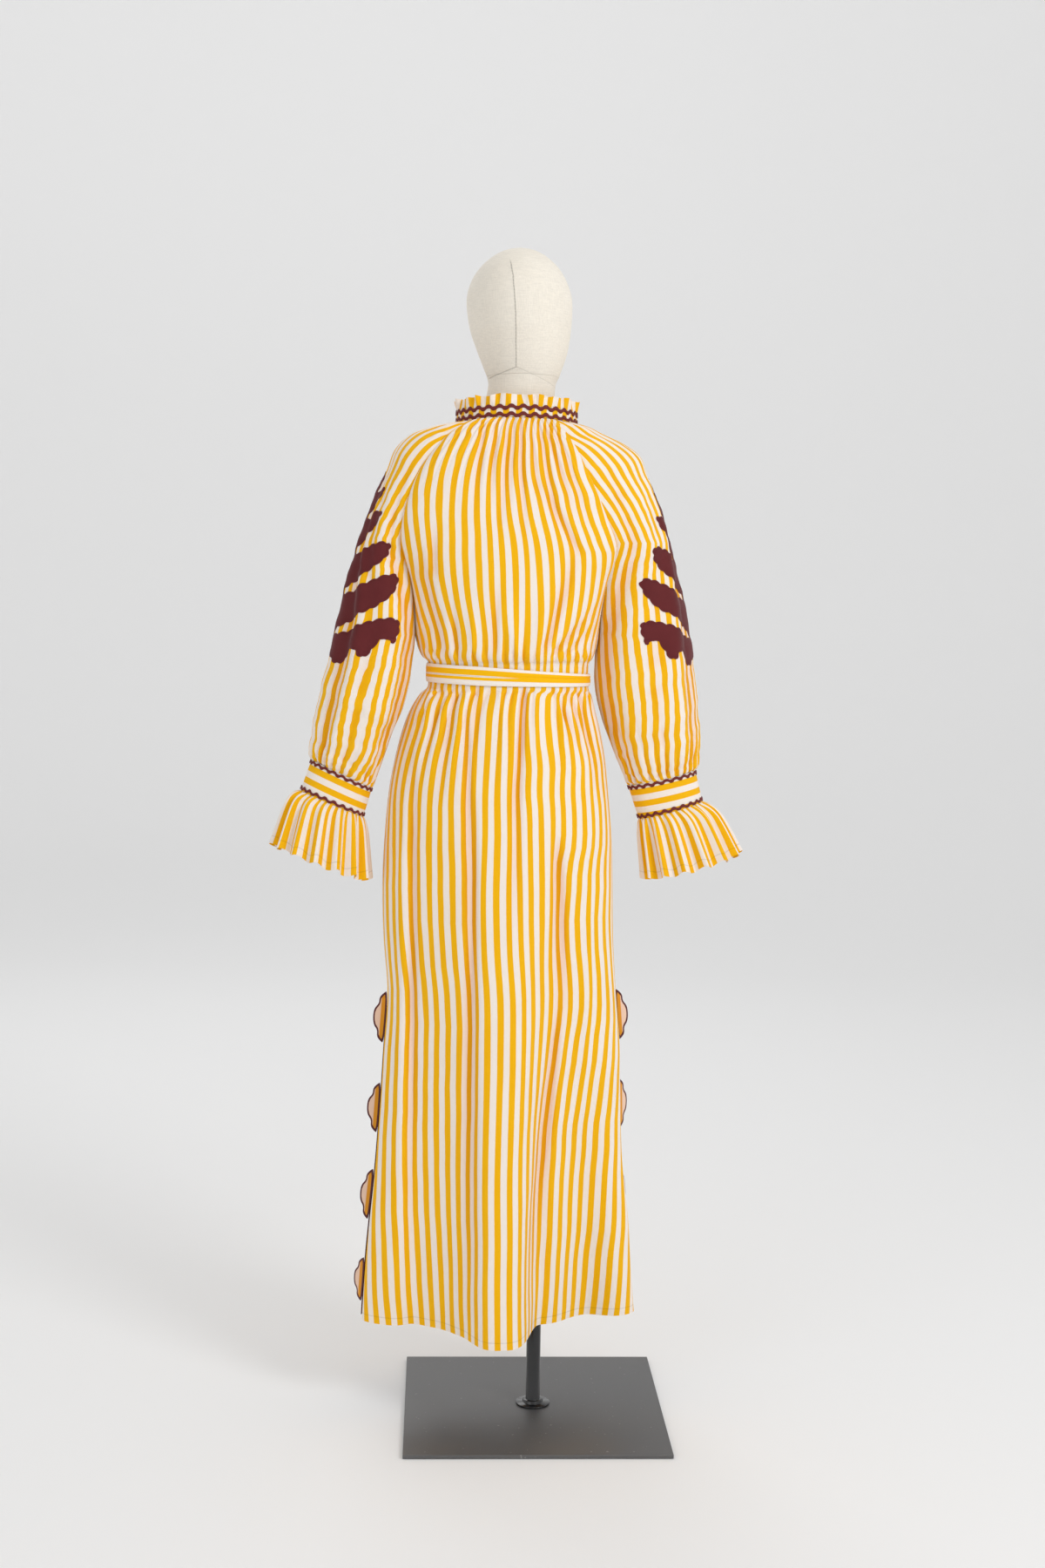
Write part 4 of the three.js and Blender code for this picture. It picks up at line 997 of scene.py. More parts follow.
class KaftanColours(PropertyGroup):
    marigold: paint("Marigold", "Yellow stripe", 252, 190, 0)
    marigold_deep: paint("Deep marigold", "Yellow stripe where it is denser", 246, 180, 0)
    # Painted shade colours: the stripes as they look in the shade of crease and gather valleys, also the
    # ground of the slit lobes.
    marigold_shade: paint("Marigold in the shade of folds", "Yellow stripe in the painted shade of folds", 232, 152, 0)
    cream_shade: paint("White in the shade of folds", "White stripe in the painted shade of folds", 250, 212, 186)
    cream: paint("White", "White stripe", 249, 241, 232)
    cream_warm: paint("Warm white", "White stripe where it is warmer", 247, 234, 223)
    maroon: paint("Maroon", "Branch, braid and satin stitch", 92, 33, 35)
    maroon_light: paint("Light maroon", "Maroon where it is worn", 106, 40, 42)
    linen: paint("Linen", "Cover of the form", 243, 237, 225)
    linen_deep: paint("Deep linen", "Cover where it is denser", 235, 227, 213)
    pole: paint("Pole", "Gloss paint", 14, 14, 15)
    steel: paint("Steel", "Base plate", 94, 94, 95)
    steel_light: paint("Light steel", "Base plate where it is worn", 112, 111, 110)
    floor: paint("Studio paper", "Floor and backdrop", 243, 243, 243)


# Body panels

def panel_grid(face, columns, rows):
    """Outer points of a body panel, its flat measures, and how much painted shade lies in its crease and
    gather valleys.
    """
    u = np.linspace(0, 1, columns + 1)[None, :]
    row = np.asarray(rows)[:, None]
    outer = body_surface(face, u, row)
    plain = body_surface(face, u, row, gathers=False)
    run = along(plain, 1)
    middle = run[:, [columns // 2]]
    fullness = np.interp(rows, [0, 1, 2, 3, 4, 6, 13, 15, 18, 20, 34],
                         [1.3, 1.2, 1.1, 1.05, 1.02, 1, 1, 1.03, 1.03, 1, 1])
    creases = BACK_CREASES if face > 0 else FRONT_CREASES
    x, z = plain[..., 0], plain[..., 2]
    across = (run - middle) * fullness[:, None] + tucked(creases, x, z)
    uneven = np.interp(rows, [0, 2, 6, 9, 12, 15, 18, 21, 26, 34],
                       [1.2, 1.5, 1.2, 0.8, 1.2, 1.5, 1.5, 1.2, 0.8, 0.5])
    across = across + uneven[:, None] * wander(26 * u + 0.25 * row, 2.6 + face)
    high = along(plain, 0)
    down = high[[-1], :] - high
    # Painted shade: strongest in the crease valleys and where the gathers sink inwards.
    fold_shade = np.clip(-creased(creases, x, z) / 5, 0, 1)
    shift = outer - plain
    outward = np.sign((shift * (plain - plain.mean(axis=1, keepdims=True))).sum(-1))
    gather = np.clip(-np.linalg.norm(shift, axis=-1) * outward / 2.5, 0, 0.6)
    return outer, np.stack([across, down], axis=-1), np.clip(fold_shade + gather, 0, 1)


def panel_rows():
    """Rows of the panels' mesh, closer at the neck and belt."""
    return np.concatenate([np.linspace(0, 4, 25)[:-1], np.linspace(4, 13, 37)[:-1],
                           np.linspace(13, 22, 46)[:-1], np.linspace(22, 34, 44)])


def hung_panel(**more):
    """Both panels' cut and what carries them, as one table."""
    return {"flat": (0.51, 1.4), "held": "hung", "rests_on": ["form_torso"], "area": 0.6, **more}


class KAFTAN_OT_back(Operator):
    """Cut and gather the back panel"""
    bl_idname = "kaftan.back"
    bl_label = "Back panel"

    def execute(self, context):
        sizes = context.scene.kaftan_sizes
        outer, flat, fold_shade = panel_grid(1, sizes.columns, panel_rows())
        back = sheet_piece("back_panel", outer, flat, sizes.cloth / MM, striped_cotton(), {"fold_shade": fold_shade})
        settle(back, ["back"], hung_panel())
        return {"FINISHED"}


class KAFTAN_OT_front(Operator):
    """Cut the front panel with its neck slit and the lobes of its side slits"""
    bl_idname = "kaftan.front"
    bl_label = "Front panel"

    def execute(self, context):
        sizes = context.scene.kaftan_sizes
        rows, columns = panel_rows(), sizes.columns - sizes.columns % 2
        outer, flat, fold_shade = panel_grid(-1, columns, rows)
        half = columns // 2
        gap = np.clip(2 * (1 - rows / NECK_SLIT_ROW), 0.25, 2)
        outer, flat, fold_shade = (np.concatenate([grid[:, :half + 1], grid[:, half:]], axis=1)
                             for grid in (outer, flat, fold_shade))
        outer[:, half, 0] += gap
        outer[:, half + 1, 0] -= gap
        keep = np.ones((len(rows) - 1, outer.shape[1] - 1), bool)
        keep[rows[1:] <= NECK_SLIT_ROW + 0.01, half] = False
        run = along(outer, 1)
        edge = np.minimum(run, run[:, [-1]] - run)
        edge = np.where((rows >= SLIT_ROW)[:, None], edge, 99)
        front = sheet_piece("front_panel", outer, flat, sizes.cloth / MM,
                            striped_cotton("striped cotton with slits", slit=True),
                            {"slit": edge, "fold_shade": fold_shade}, keep)
        settle(front, ["front"], hung_panel(with_pieces=self.lobes()))
        return {"FINISHED"}

    def lobes(self):
        """Scalloped lobes along both side slits, each turned forward by its own angle."""
        points, faces, rim = cut_out(spaced(rounded(np.asarray(LOBE) * LOBE_SIZE, 2), 1.5), 4)
        down, reach = points[:, :1] / LOBE_SIZE[0], points[:, 1:] - 0.8
        count = len(LOBE_ROWS)
        lobes = []
        for side, name in SIDES:
            u = 0.0 if side > 0 else 1.0
            outer, inner, joined = [], [], []
            for k, (row, turn) in enumerate(zip(LOBE_ROWS, np.radians(LOBE_TURNS[name]))):
                upper, lower = body_cloth(-1, u, row), body_cloth(-1, u, row + 1)
                place = upper + (lower - upper) * down
                place = place + np.hstack([side * np.cos(turn) * reach,
                                           -np.sin(turn) * reach - 0.9 * (reach > 0), 0 * reach])
                joined += [[i + k * len(points) for i in f[::-side]] for f in faces]
                outer.append(place)
                inner.append(place - [-np.sin(turn) * side, -np.cos(turn), 0.0])
            piece = wall(f"slit_lobes_{name}", np.vstack(outer), np.vstack(inner), joined,
                         np.tile(points, (count, 1)), lobe_cotton(), {"rim": np.tile(rim, count)})
            lobes.append(settle(piece))
        return lobes


def lobe_cotton(name="lobe cotton"):
    """Lobe cloth painted in the stripes' shade colours, marigold near the panel and white beyond, with a
    narrow maroon satin stitched border.
    """
    def make(title):
        colours = bpy.context.scene.kaftan_colours
        f = Finish(title, Roughness=0.75, Sheen_Weight=0.2)
        across, down = f.cloth()
        # Painted shade: the lobes' cloth takes the stripes' shade colours, marigold near the panel and
        # white beyond.
        near = 1 - down.above(8.5, 0.8)
        ground = f.blend(near, opaque(colours.cream_shade), opaque(colours.marigold_shade))
        satin = 1 - f.value("rim").above(2.5, 0.4)
        rows = (across * 5.0 + down * 3.0).sine()
        colour = f.blend(satin, ground, opaque(colours.maroon))
        f.bump(satin * (0.8 + rows * 0.2) + f.noise(f.spot(across, down), 2.0) * 0.2, 0.6, 0.0005)
        # Painted shade between the satin stitch rows: lighter on their crests, darker between them.
        f.wire(Base_Color=f.darker(colour, 0.95 + rows * satin * 0.06))
        return f.material
    return found(name, make)


# Sleeves, cuffs and flounces

class KAFTAN_OT_sleeves(Operator):
    """Cut both raglan sleeves and gather them into the cuffs"""
    bl_idname = "kaftan.sleeves"
    bl_label = "Sleeves"

    def execute(self, context):
        sizes = context.scene.kaftan_sizes
        rows = np.concatenate([np.linspace(0, 4, 20)[:-1], np.linspace(4, 15, 56)[:-1],
                               np.linspace(15, 19, 36)])
        u, row = np.linspace(0, 1, 161)[None, :], rows[:, None]
        for side, name in SIDES:
            outer = sleeve_surface(side, u, row)
            plain = sleeve_surface(side, u, row, gathers=False)
            run = along(plain, 1)
            fullness = np.interp(rows, [0, 2, 4, 6, 8, 10, 12, 14, 16, 17, 18, 19],
                                 [1.3, 1.1, 1.1, 1.22, 1.38, 1.16, 1, 1, 1.04, 1.14, 1.35, 1.65])
            across = (run - run[:, [80]]) * fullness[:, None] + 5
            uneven = np.interp(rows, [0, 3, 8, 12, 16, 19], [1.5, 1, 1.5, 4, 4, 2])[:, None]
            across = across + uneven * wander(14 * u + 0.2 * row, 3 + side)
            high = along(plain, 0)
            down = 40 + high[[-1], :] - high
            flat = np.stack([across, down], axis=-1)
            # Painted shade where the sleeve's folds and gathers sink inwards.
            middle = 0.5 * (plain[:, [40]] + plain[:, [120]])
            shift = outer - sleeve_cloth(side, u, row)
            sunk = (shift * (outer - middle)).sum(-1) < 0
            fold_shade = np.clip(np.linalg.norm(shift, axis=-1) / 4, 0, 0.8) * sunk
            piece = sheet_piece(f"raglan_sleeve_{name}", outer, flat, sizes.cloth / MM,
                                striped_cotton("striped cotton without hem", hem=False), {"fold_shade": fold_shade})
            settle(piece, [f"sleeve_{name}"], {
                "flat": (0.43, 0.56), "held": "gathered", "rests_on": ["form_torso"], "area": 0.19})
        return {"FINISHED"}


class KAFTAN_OT_branches(Operator):
    """Cut the maroon leaf branches and sew them on the sleeves"""
    bl_idname = "kaftan.branches"
    bl_label = "Leaf branches"

    def execute(self, context):
        mirror = [[-out, down] for out, down in reversed(BRANCH[1:])]
        outline = spaced(rounded(BRANCH + [BRANCH_END] + mirror, 2), 2.2)
        outline = outline + 3.0 * self.scallops(outline)
        points, faces, rim = cut_out(outline, 4.5)
        table_rows, table_down = zip(*BRANCH_ROWS)
        rows = np.interp(points[:, 1], table_down, table_rows)
        for side, name in SIDES:
            u = self.places(side, points[:, 0], rows)
            surface = sleeve_surface(side, u, rows)
            out = sleeve_out(side, u, rows)
            body = 1.25 - 0.5 * np.exp(-rim / 1.2)
            outer, inner = surface + out * body[:, None], surface + out * 0.3
            a, b, c = (outer[[f[k] for f in faces]] for k in (0, 1, 2))
            facing = (np.cross(b - a, c - a) * out[[f[0] for f in faces]]).sum()
            turned = [f[::-1] for f in faces] if facing < 0 else faces
            piece = wall(f"leaf_branch_{name}", outer, inner, turned, points, maroon_cotton(),
                         {"rim": rim})
            settle(piece, [f"applique_{name}"], {
                "flat": (0.252, 0.308), "held": "laid", "rests_on": [f"raglan_sleeve_{name}"],
                "area": 0.034})
        return {"FINISHED"}

    @staticmethod
    def scallops(outline):
        """Small steps out and in, square to the outline."""
        ahead = np.roll(outline, -1, axis=0) - np.roll(outline, 1, axis=0)
        out = unit(np.stack([ahead[:, 1], -ahead[:, 0]], axis=1))
        run = np.arange(len(outline))
        return out * (np.abs(np.sin(run * 0.42)) - 0.5)[:, None]

    @staticmethod
    def places(side, distance, rows):
        """Share round the sleeve for each distance from its outer line."""
        share = np.empty(len(distance))
        for sign, end in ((1, 0.02), (-1, 0.98)):
            chosen = distance >= 0 if sign > 0 else distance < 0
            u = np.linspace(0.5, end, 60)[None, :]
            run = along(sleeve_cloth(side, u, rows[chosen][:, None]), 1)
            wanted = np.abs(distance[chosen])
            share[chosen] = [np.interp(d, r, u[0]) for d, r in zip(wanted, run)]
        return share


class KAFTAN_OT_cuffs(Operator):
    """Sew the cuff bands and their flounces"""
    bl_idname = "kaftan.cuffs"
    bl_label = "Cuffs and flounces"

    def execute(self, context):
        thick = context.scene.kaftan_sizes.cloth / MM
        for side, name in SIDES:
            self.band(name, CUFF_LEFT if side > 0 else CUFF_RIGHT, thick)
            self.flounce(name, FLOUNCE_LEFT if side > 0 else FLOUNCE_RIGHT, thick)
        return {"FINISHED"}

    @staticmethod
    def band(name, table, thick):
        """One cuff, a little puffed between its seams."""
        u = np.linspace(0, 1, 113)[None, :]
        rows = np.linspace(0, 1, 13)[:, None]
        puff = 0.5 * np.sin(np.pi * rows) + 0.25 * wander(30 * u, 2) * np.sin(np.pi * rows)
        outer = ring_point(table, u, rows, puff)
        flat = np.stack([along(outer, 1), along(outer, 0) + 7], axis=-1)
        piece = sheet_piece(f"cuff_band_{name}", outer, flat, thick,
                            striped_cotton("striped cotton turned", turned=True, hem=False))
        settle(piece, [f"cuff_{name}"], {
            "flat": (0.27, 0.05), "held": "stretched", "rests_on": [f"raglan_sleeve_{name}"]})

    @staticmethod
    def flounce(name, table, thick):
        """One flounce, its waves growing from the cuff to the edge."""
        waves = WAVES["flounce"]
        u = np.linspace(0, 1, 361)[None, :]
        rows = np.linspace(0, 2, 25)[:, None]

        def ring(a, b):
            return ring_point(table, a, b)
        side = 1 if name == "left" else -1
        out = square_to(ring, *np.broadcast_arrays(u, rows), side, 2, True)
        deep = np.interp(rows, [0, 0.5, 1, 2], [0.3, 2.4, 4.6, 8.4])
        turn = 2 * np.pi * waves * u + 0.25 * np.pi
        lift = deep * np.sin(turn + 0.5 * np.sin(4 * np.pi * u))
        lift = lift + 0.9 * np.interp(rows, [0, 0.3, 1], [0.2, 1, 0]) * np.sin(3 * turn)
        outer = ring(u, rows) + out * lift[..., None]
        outer[..., 2] += 2.5 * (rows / 2) ** 2 * np.sin(turn + 1)
        run = along(outer, 1)
        across = np.broadcast_to(u * run[-1, -1] * 0.93, run.shape)
        high = along(outer, 0)
        flat = np.stack([across, high[[-1], :] - high], axis=-1)
        piece = sheet_piece(f"cuff_flounce_{name}", outer, flat, thick, striped_cotton())
        settle(piece, [f"flounce_{name}"], {
            "flat": (0.6, 0.1), "held": "gathered", "rests_on": [f"cuff_band_{name}"]})


# Neck

def neck_angle(u):
    """Angle round the neck, from one side of the front slit to the other."""
    return mix(-90 + NECK_SLIT, 270 - NECK_SLIT, u)


class KAFTAN_OT_neck(Operator):
    """Sew the neckband and its gathered frill"""
    bl_idname = "kaftan.neck"
    bl_label = "Neckband and frill"

    def execute(self, context):
        thick = context.scene.kaftan_sizes.cloth / MM
        u = np.linspace(0, 1, 241)[None, :]
        deg = neck_angle(u)
        out = neck_out(deg)
        up = np.linspace(NECK_BAND, 0.15, 9)[:, None]
        swell = 0.35 * np.sin(np.pi * up / NECK_BAND) + 0.2 * wander(40 * u, 1)
        outer = neck_point(deg, up, 0) + out * swell[..., None]
        flat = np.stack([along(outer, 1), up + 30 + 0 * u], axis=-1)
        band = sheet_piece("neck_band", outer, flat, thick,
                           striped_cotton("striped cotton without hem", hem=False))
        settle(band, ["neckband"], {
            "flat": (0.507, 0.0155), "held": "stretched", "rests_on": ["back_panel", "front_panel"]})
        self.frill()
        return {"FINISHED"}

    @staticmethod
    def frill():
        """The gathered frill, its waves growing from the band to the edge."""
        u = np.linspace(0, 1, 529)[None, :]
        deg = neck_angle(u)
        out = neck_out(deg)
        t = np.linspace(1, 0, 11)[:, None]
        turn = 2 * np.pi * WAVES["frill"] * u + 0.25 * np.pi + 2.6 * wander(24 * u, 3)
        lift = 4.6 * t ** 0.8 * np.sin(turn) * (0.85 + 0.45 * wander(31 * u, 1))
        lift = lift + 1.3 * np.sin(2.3 * turn + 1) * t * (1.2 - t)
        lift = lift + 0.8 * np.sin(3 * turn) * (1 - t) * np.minimum(1, 5 * t)
        outer = neck_point(deg + 1.3 * t * wander(29 * u, 5), NECK_BAND + 0.3 + t * NECK_FRILL, 0)
        outer = outer + out * lift[..., None]
        outer[..., 2] += t * (1.5 * np.sin(turn * 0.5 + 1) + 1.3 * wander(43 * u, 2) - 1)
        across = u * NECK_ROUND * 1.3 + 3.5 * wander(24 * u, 3) * (1.2 - t)
        flat = np.stack([across, 3 + (1 - t) * NECK_FRILL + 0 * u], axis=-1)
        frill = sheet_piece("neck_frill", outer, flat, 0.8,
                            striped_cotton("striped cotton frill", hem=False))
        settle(frill, ["neck_ruffle"], {
            "flat": (0.66, 0.019), "held": "gathered", "rests_on": ["neck_band"]})


class KAFTAN_OT_braid(Operator):
    """Sew the wavy maroon braid on the neckband and cuffs"""
    bl_idname = "kaftan.braid"
    bl_label = "Ric-rac braid"

    def execute(self, context):
        for name, up in (("lower", 2.8), ("upper", 14.0)):
            def neck(u, rise, lift, up=up):
                deg = neck_angle(u)
                return neck_point(deg, up + rise, 0) + neck_out(deg) * (lift + 0.45)[..., None]
            self.braid(f"ricrac_neck_{name}", neck, WAVES["neck braid"], f"neck_ricrac_{name}",
                       False, 500)
        for side, label in SIDES:
            table = CUFF_LEFT if side > 0 else CUFF_RIGHT
            for name, row in (("upper", 0.1), ("lower", 0.9)):
                def cuff(u, rise, lift, table=table, row=row):
                    return ring_point(table, u, row + rise / 48, lift + 0.75)
                self.braid(f"ricrac_cuff_{label}_{name}", cuff, WAVES["cuff braid"],
                           f"cuff_ricrac_{label}_{name}", True, 270)
        return {"FINISHED"}

    @staticmethod
    def braid(name, at, waves, node, closed, length):
        """One length of braid along a line, its section swept over the waves."""
        u = np.linspace(0, 1, waves * 16 + 1)
        u = u[:-1] if closed else u
        turn = 2 * np.pi * waves * u
        rise = 1.95 * (np.cos(turn) - 0.1 * np.cos(3 * turn))
        edge = np.array([-1, -0.75, -0.3, 0.3, 0.75, 1, 0.6, -0.6])
        lift = np.array([0.35, 0.95, 1.2, 1.2, 0.95, 0.35, 0.1, 0.1])
        u = u[:, None]
        rings = at(u + 0 * edge, rise[:, None] + 2.9 * edge, 0.25 + 0 * u + lift)
        flat = np.stack([u * length + 0 * edge, 2 * edge + 0 * u], axis=-1)
        piece = loft(name, rings, maroon_cotton("maroon braid", braid=True), closed, flat)
        settle(piece, [node])


# Belt

def belt_height(x):
    """The belt lies a little lower on the right."""
    return 1148.5 - 9 * (181 - x) / 252


class KAFTAN_OT_belt(Operator):
    """Tie the belt sash with its knot and two hanging ends"""
    bl_idname = "kaftan.belt"
    bl_label = "Belt"

    def execute(self, context):
        u = np.linspace(0, 1, 181)[:-1][:, None]
        a = 2 * np.pi * u
        half = BELT["half"]
        v = np.concatenate([np.linspace(-half, half, 23), [13, 5, -5, -13]])[None, :]
        skin = np.concatenate([np.ones(23), np.zeros(4)])[None, :]
        slope = np.interp(BELT["x"] + BELT["rx"] * np.cos(a), [-70, 60, 180], [3.5, 1.5, -3.5])
        crease = -1.1 * np.exp(-((v - slope) / 1.0) ** 2) * (np.sin(a) > 0)
        crease = crease - 0.5 * np.exp(-((v + 8.5) / 1.2) ** 2) * np.clip(np.sin(a), 0, 1)
        puff = 3.3 - 1.3 * (np.abs(v) / half) ** 6 + 0.35 * wander(16 * u, 1) + crease
        out = np.where(skin > 0, puff, 1.35)
        x = BELT["x"] + (BELT["rx"] + out) * np.cos(a)
        narrow = np.interp(x, [-72, 110], [0.64, 1.0])
        deep = np.where(np.sin(a) > 0, BELT["back"], BELT["front"])
        rings = stack(x, BELT["y"] + (deep + out) * np.sin(a), belt_height(x) + v * narrow)
        flat = np.stack([u * BELT["round"] + 0 * v, v + 0 * u], axis=-1)
        belt = loft("belt_sash", rings, belt_cotton(), True, flat)
        open_fold = np.clip((x - 50) / 110, 0, 1) * (np.sin(a) > 0)
        wedge = belt.data.attributes.new("wedge", "FLOAT", "POINT")
        wedge.data.foreach_set("value", open_fold.astype(np.float32).ravel())
        settle(belt, ["belt"], {
            "flat": (0.69, 0.028), "held": "stretched", "rests_on": ["back_panel", "front_panel"],
            "with_pieces": [self.knot()]})
        for side, name in SIDES:
            self.tail(side, name)
        return {"FINISHED"}

    @staticmethod
    def knot():
        """The tied knot, with the sash wound round it."""
        t = np.linspace(-1, 1, 33)[:, None]
        a = np.linspace(0, 2 * np.pi, 49)[:-1][None, :]
        size = 0.42 + 0.58 * np.clip(1 - np.abs(t) ** 3.2, 0, 1) ** 0.5
        wrap = 1 + 0.06 * np.sin(5 * a + 5 * t) + 0.035 * np.sin(11 * a - 7 * t)
        x, y, z = KNOT
        rings = stack(x + 17 * t + 0 * a, y + 5.8 * size * wrap * np.cos(a),
                      z + 14.6 * size * wrap * np.sin(a))
        flat = np.stack([17 * t + 0 * a, 14 * np.sin(a + 0.5) + 5 * t], axis=-1)
        piece = loft("knot_of_belt", rings, belt_cotton(), False, flat)
        return settle(piece, ["belt_knot"])

    @staticmethod
    def tail(side, name):
        """One hanging end of the sash."""
        t = np.linspace(0, 1, 91)[:, None]
        s = np.linspace(-1, 1, 17)[None, :]
        half = 9 + 5 * np.clip(3 * t, 0, 1)
        x = KNOT[0] + side * mix(9, 26, t ** 0.7) + s * half
        z = mix(1131, 915, t) + 8 * side * s * t ** 6
        y = mix(-111.1, -136, t ** 0.6) - 1.2 * np.sin(9 * t + side) * t
        outer = stack(x, y - 1.6 * t * np.cos(1.6 * s) * side, z)
        flat = np.stack([(1 - t) * 218 + 0 * s, s * half], axis=-1)
        piece = sheet_piece(f"sash_end_{name}", outer, flat, 1.0, belt_cotton())
        settle(piece, [f"belt_tail_{name}"], {
            "flat": (0.028, 0.22), "held": "hung", "rests_on": ["knot_of_belt"]})


def belt_cotton(name="belt cotton"):
    """Striped cotton folded along the belt: white, marigold, the folded middle, marigold, white, with a
    painted shade line down the folded middle where it opens.
    """
    def make(title):
        colours = bpy.context.scene.kaftan_colours
        f = Finish(title, **COTTON)
        run, across = f.cloth()
        grain = f.noise(f.spot(run * 0.15, across * 1.2), 1.0, 3.0)
        v = across + (grain - 0.5) * 0.4
        wedge = (f.value("wedge") * 2.6).clamped()
        lower = 1 - abs(v + 3.9).above(2.2, 0.5)
        upper = 1 - abs(v - 5.2).above(4.2, 0.5)
        between = 1 - abs(v + 0.3).above(1.5, 0.5)
        yellow = (lower + upper + between * (1 - wedge)).clamped()
        colour = f.blend(yellow, opaque(colours.cream), opaque(colours.marigold))
        # Painted shade: a dark line down the folded middle where the sash opens.
        line = (1 - abs(v + 0.4).above(0.35, 0.5)) * wedge
        colour = f.darker(colour, 1 - line * 0.35)
        f.bump(grain * 0.2 + f.noise(f.spot(run * 0.05, across * 0.2), 1.0) * 0.8, 0.5, 0.0006)
        f.wire(Base_Color=f.darker(colour, 0.95 + grain * 0.08), Roughness=0.66 + grain * 0.14)
        return f.material
    return found(name, make)


# Dress form and stand

def form_rings(table, rows, columns, shrink):
    """Rings of the form, drawn in a little where the kaftan covers it."""
    t = row_at(table, np.linspace(0, len(table) - 1, rows))[:, None, :]
    a = np.linspace(0, 2 * np.pi, columns + 1)[:-1][None, :]
    inside_cloth = np.where(t[..., 0] < 1530, shrink, 1.0)
    return stack(t[..., 1] + t[..., 2] * inside_cloth * np.cos(a),
                 t[..., 3] + t[..., 4] * inside_cloth * np.sin(a), t[..., 0] + 0 * a)


class KAFTAN_OT_form(Operator):
    """Cover the torso and head of the form with linen"""
    bl_idname = "kaftan.form"
    bl_label = "Dress form"

    def execute(self, context):
        torso = loft("linen_torso", form_rings(TORSO, 109, 112, 0.982), linen())
        settle(torso, ["form_torso"])
        head = loft("linen_head", form_rings(HEAD, 91, 112, 1.0), linen())
        settle(head, ["form_head"])
        return {"FINISHED"}


class KAFTAN_OT_stand(Operator):
    """Turn the pole and its flange and grind the base plate"""
    bl_idname = "kaftan.stand"
    bl_label = "Pole and plate"

    def execute(self, context):
        a = np.linspace(0, 2 * np.pi, 49)[:-1]
        rings = np.array([stack(r * np.cos(a), r * np.sin(a), z) for z, r in POLE])
        settle(loft("round_pole", rings, gloss_black()), ["pole"])
        mesh = bmesh.new()
        bmesh.ops.create_cube(mesh, size=1)
        bmesh.ops.scale(mesh, vec=(PLATE["side"], PLATE["side"], PLATE["thick"]), verts=mesh.verts)
        bmesh.ops.translate(mesh, vec=(0, 0, PLATE["thick"] / 2), verts=mesh.verts)
        bmesh.ops.bevel(mesh, geom=mesh.edges[:], offset=PLATE["bevel"], segments=3, profile=0.5,
                        affect="EDGES")
        turn = Matrix.Rotation(math.radians(PLATE["turn"]), 3, "Z")
        bmesh.ops.rotate(mesh, matrix=turn, verts=mesh.verts)
        data = bpy.data.meshes.new("ground_plate")
        mesh.to_mesh(data)
        mesh.free()
        data.materials.append(satin_steel())
        data.shade_smooth()
        data.set_sharp_from_angle(angle=math.radians(30))
        plate = bpy.data.objects.new("ground_plate", data)
        context.scene.collection.objects.link(plate)
        settle(plate, ["base_plate"])
        return {"FINISHED"}


# Stage

BACKDROP = [
    # distance from the form, height, in metres
    [0.0, 0.0], [1.2, 0.0], [4.6, 0.0], [5.4, 0.06], [6.2, 0.3], [6.9, 0.9], [7.3, 1.9], [7.4, 4.6],
]
LIGHTS = (
    # name, place, size, power, aimed at
    ("key", (-2.3, 3.2, 3.0), 1.5, 62, (0.05, 0, 1.0)),
    ("fill", (3.0, 2.8, 2.4), 2.6, 10, (0.05, 0, 1.0)),
    ("front", (0.6, -3.2, 3.4), 2.6, 24, (0.05, 0, 1.0)),
    ("backdrop", (0.1, -2.4, 4.3), 2.6, 42, (-0.6, -7.2, 6.0)),
)
CAMERA = {"place": (0.4701, 3.1220, 1.2567), "across": 0.1392, "ahead": 0.9903, "down": 5.02,
          "roll": 0.9, "lens": 47.66}


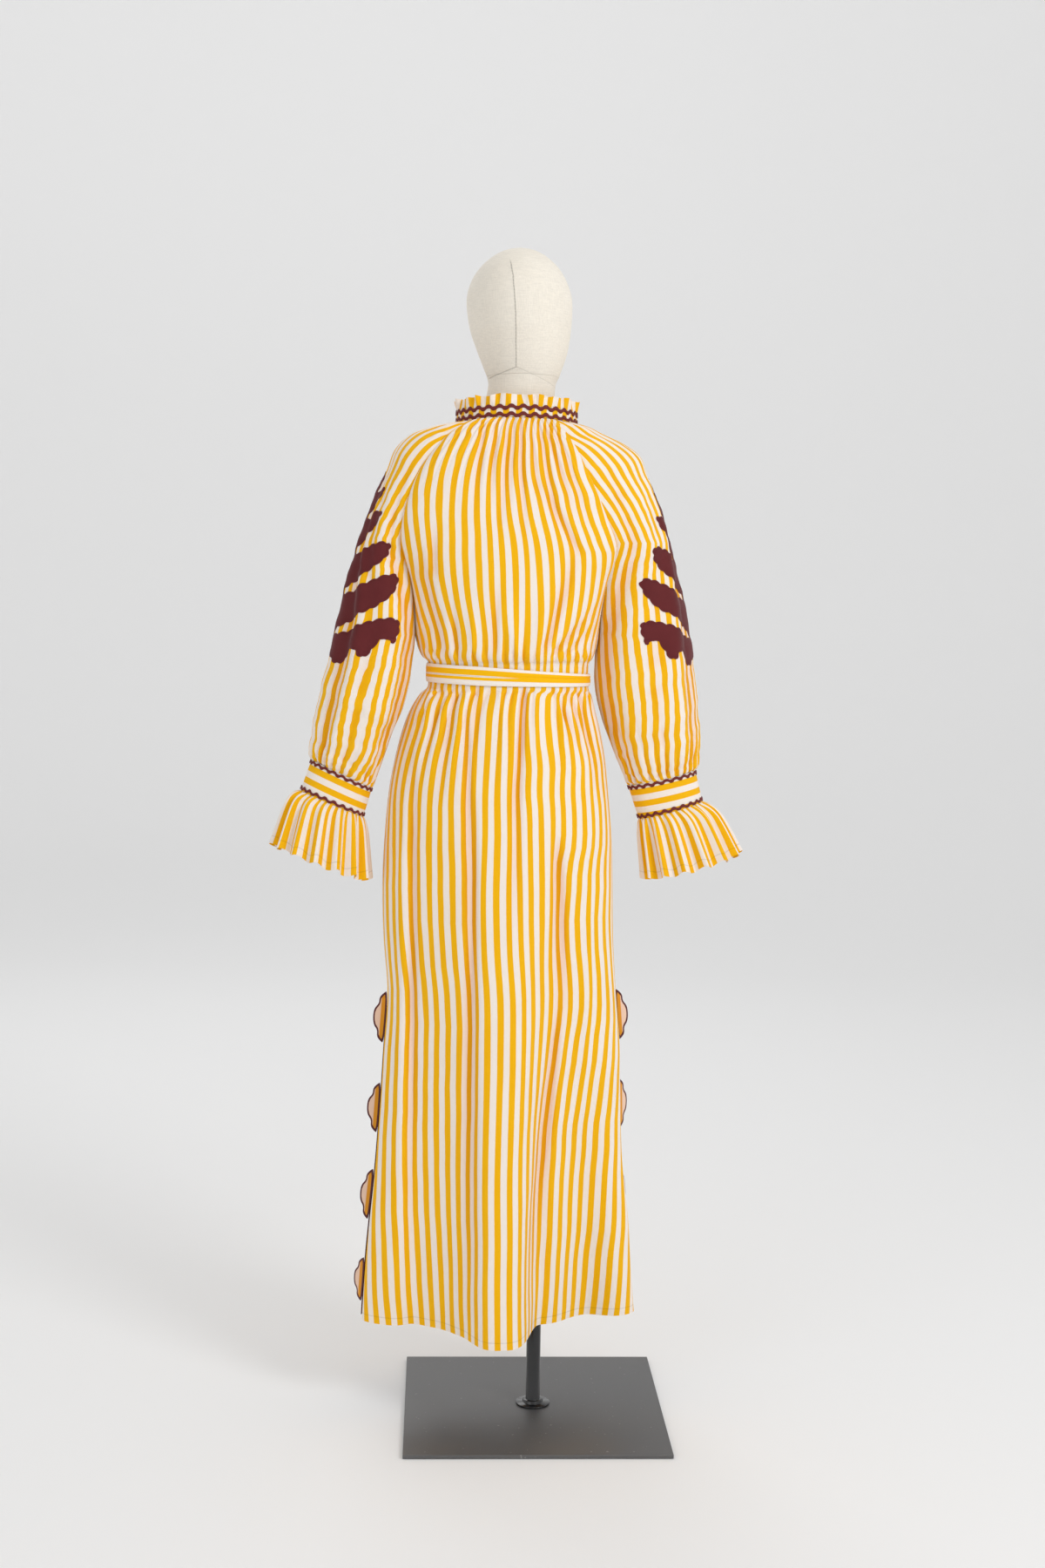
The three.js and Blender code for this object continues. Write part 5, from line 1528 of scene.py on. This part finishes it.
class KAFTAN_OT_stage(Operator):
    """Lay the paper floor, set the lights and place the camera"""
    bl_idname = "kaftan.stage"
    bl_label = "Stage"

    def execute(self, context):
        a = np.linspace(0, 2 * np.pi, 97)[:-1]
        rings = np.array([stack((r + 0.001) * 1000 * np.cos(a), (r + 0.001) * 1000 * np.sin(a),
                                z * 1000 - 0.5) for r, z in BACKDROP])
        count, n = rings.shape[:2]
        index = np.arange(count * n).reshape(count, n)
        quads = np.stack([index[:-1], np.roll(index[:-1], -1, axis=1), np.roll(index[1:], -1, axis=1),
                          index[1:]], axis=-1)
        faces = quads.reshape(-1, 4)[:, ::-1].tolist()
        floor = new_piece("studio_floor", rings.reshape(-1, 3), faces, None, studio_paper())
        smooth = floor.modifiers.new("smooth", "SUBSURF")
        smooth.levels = smooth.render_levels = 2
        world = bpy.data.worlds.new("studio")
        world.use_nodes = True
        background = world.node_tree.nodes["Background"]
        background.inputs["Color"].default_value = (1.0, 1.0, 1.0, 1.0)
        background.inputs["Strength"].default_value = 0.7
        context.scene.world = world
        for light in LIGHTS:
            self.light(*light)
        self.camera(context)
        context.scene.view_settings.view_transform = "Standard"
        context.scene.view_settings.look = "None"
        return {"FINISHED"}

    @staticmethod
    def light(name, place, size, power, target):
        """A round soft light, turned towards its target."""
        data = bpy.data.lights.new(f"{name}_light", "AREA")
        data.shape = "DISK"
        data.size = size
        data.energy = power
        lamp = bpy.data.objects.new(f"{name}_light", data)
        lamp.location = place
        aim = Vector(target) - Vector(place)
        lamp.rotation_euler = aim.to_track_quat("-Z", "Y").to_euler()
        bpy.context.scene.collection.objects.link(lamp)

    @staticmethod
    def camera(context):
        """The camera behind the form, at the height and angle of the photo."""
        down, roll = math.radians(CAMERA["down"]), math.radians(CAMERA["roll"])
        across, ahead = CAMERA["across"], CAMERA["ahead"]
        forward = Vector((-across * math.cos(down), -ahead * math.cos(down), -math.sin(down)))
        right = Vector((-ahead, across, 0)).normalized()
        up = right.cross(forward)
        side = right * math.cos(roll) + up * math.sin(roll)
        top = up * math.cos(roll) - right * math.sin(roll)
        data = bpy.data.cameras.new("photo_camera")
        data.lens = CAMERA["lens"]
        data.sensor_width = 36
        camera = bpy.data.objects.new("photo_camera", data)
        turn = Matrix((side, top, -forward)).transposed().to_4x4()
        camera.matrix_world = Matrix.Translation(CAMERA["place"]) @ turn
        context.scene.collection.objects.link(camera)
        context.scene.camera = camera


class KAFTAN_PT_panel(Panel):
    """Sizes, colours and steps of the kaftan"""
    bl_idname = "KAFTAN_PT_panel"
    bl_label = "Kaftan"
    bl_space_type = "VIEW_3D"
    bl_region_type = "UI"
    bl_category = "Kaftan"

    def draw(self, context):
        for group in (context.scene.kaftan_sizes, context.scene.kaftan_colours):
            for key in group.__annotations__:
                self.layout.prop(group, key)
        for step in STEPS:
            self.layout.operator(step.bl_idname)


STEPS = (
    KAFTAN_OT_back, KAFTAN_OT_front, KAFTAN_OT_sleeves, KAFTAN_OT_branches, KAFTAN_OT_cuffs,
    KAFTAN_OT_neck, KAFTAN_OT_braid, KAFTAN_OT_belt, KAFTAN_OT_form, KAFTAN_OT_stand, KAFTAN_OT_stage,
)
CLASSES = (KaftanSizes, KaftanColours, *STEPS, KAFTAN_PT_panel)


def register():
    for item in CLASSES:
        bpy.utils.register_class(item)
    bpy.types.Scene.kaftan_sizes = PointerProperty(type=KaftanSizes)
    bpy.types.Scene.kaftan_colours = PointerProperty(type=KaftanColours)


def unregister():
    del bpy.types.Scene.kaftan_colours
    del bpy.types.Scene.kaftan_sizes
    for item in reversed(CLASSES):
        bpy.utils.unregister_class(item)


def main():
    register()
    for step in STEPS:
        group, name = step.bl_idname.split(".")
        getattr(getattr(bpy.ops, group), name)()


if __name__ == "__main__":
    main()
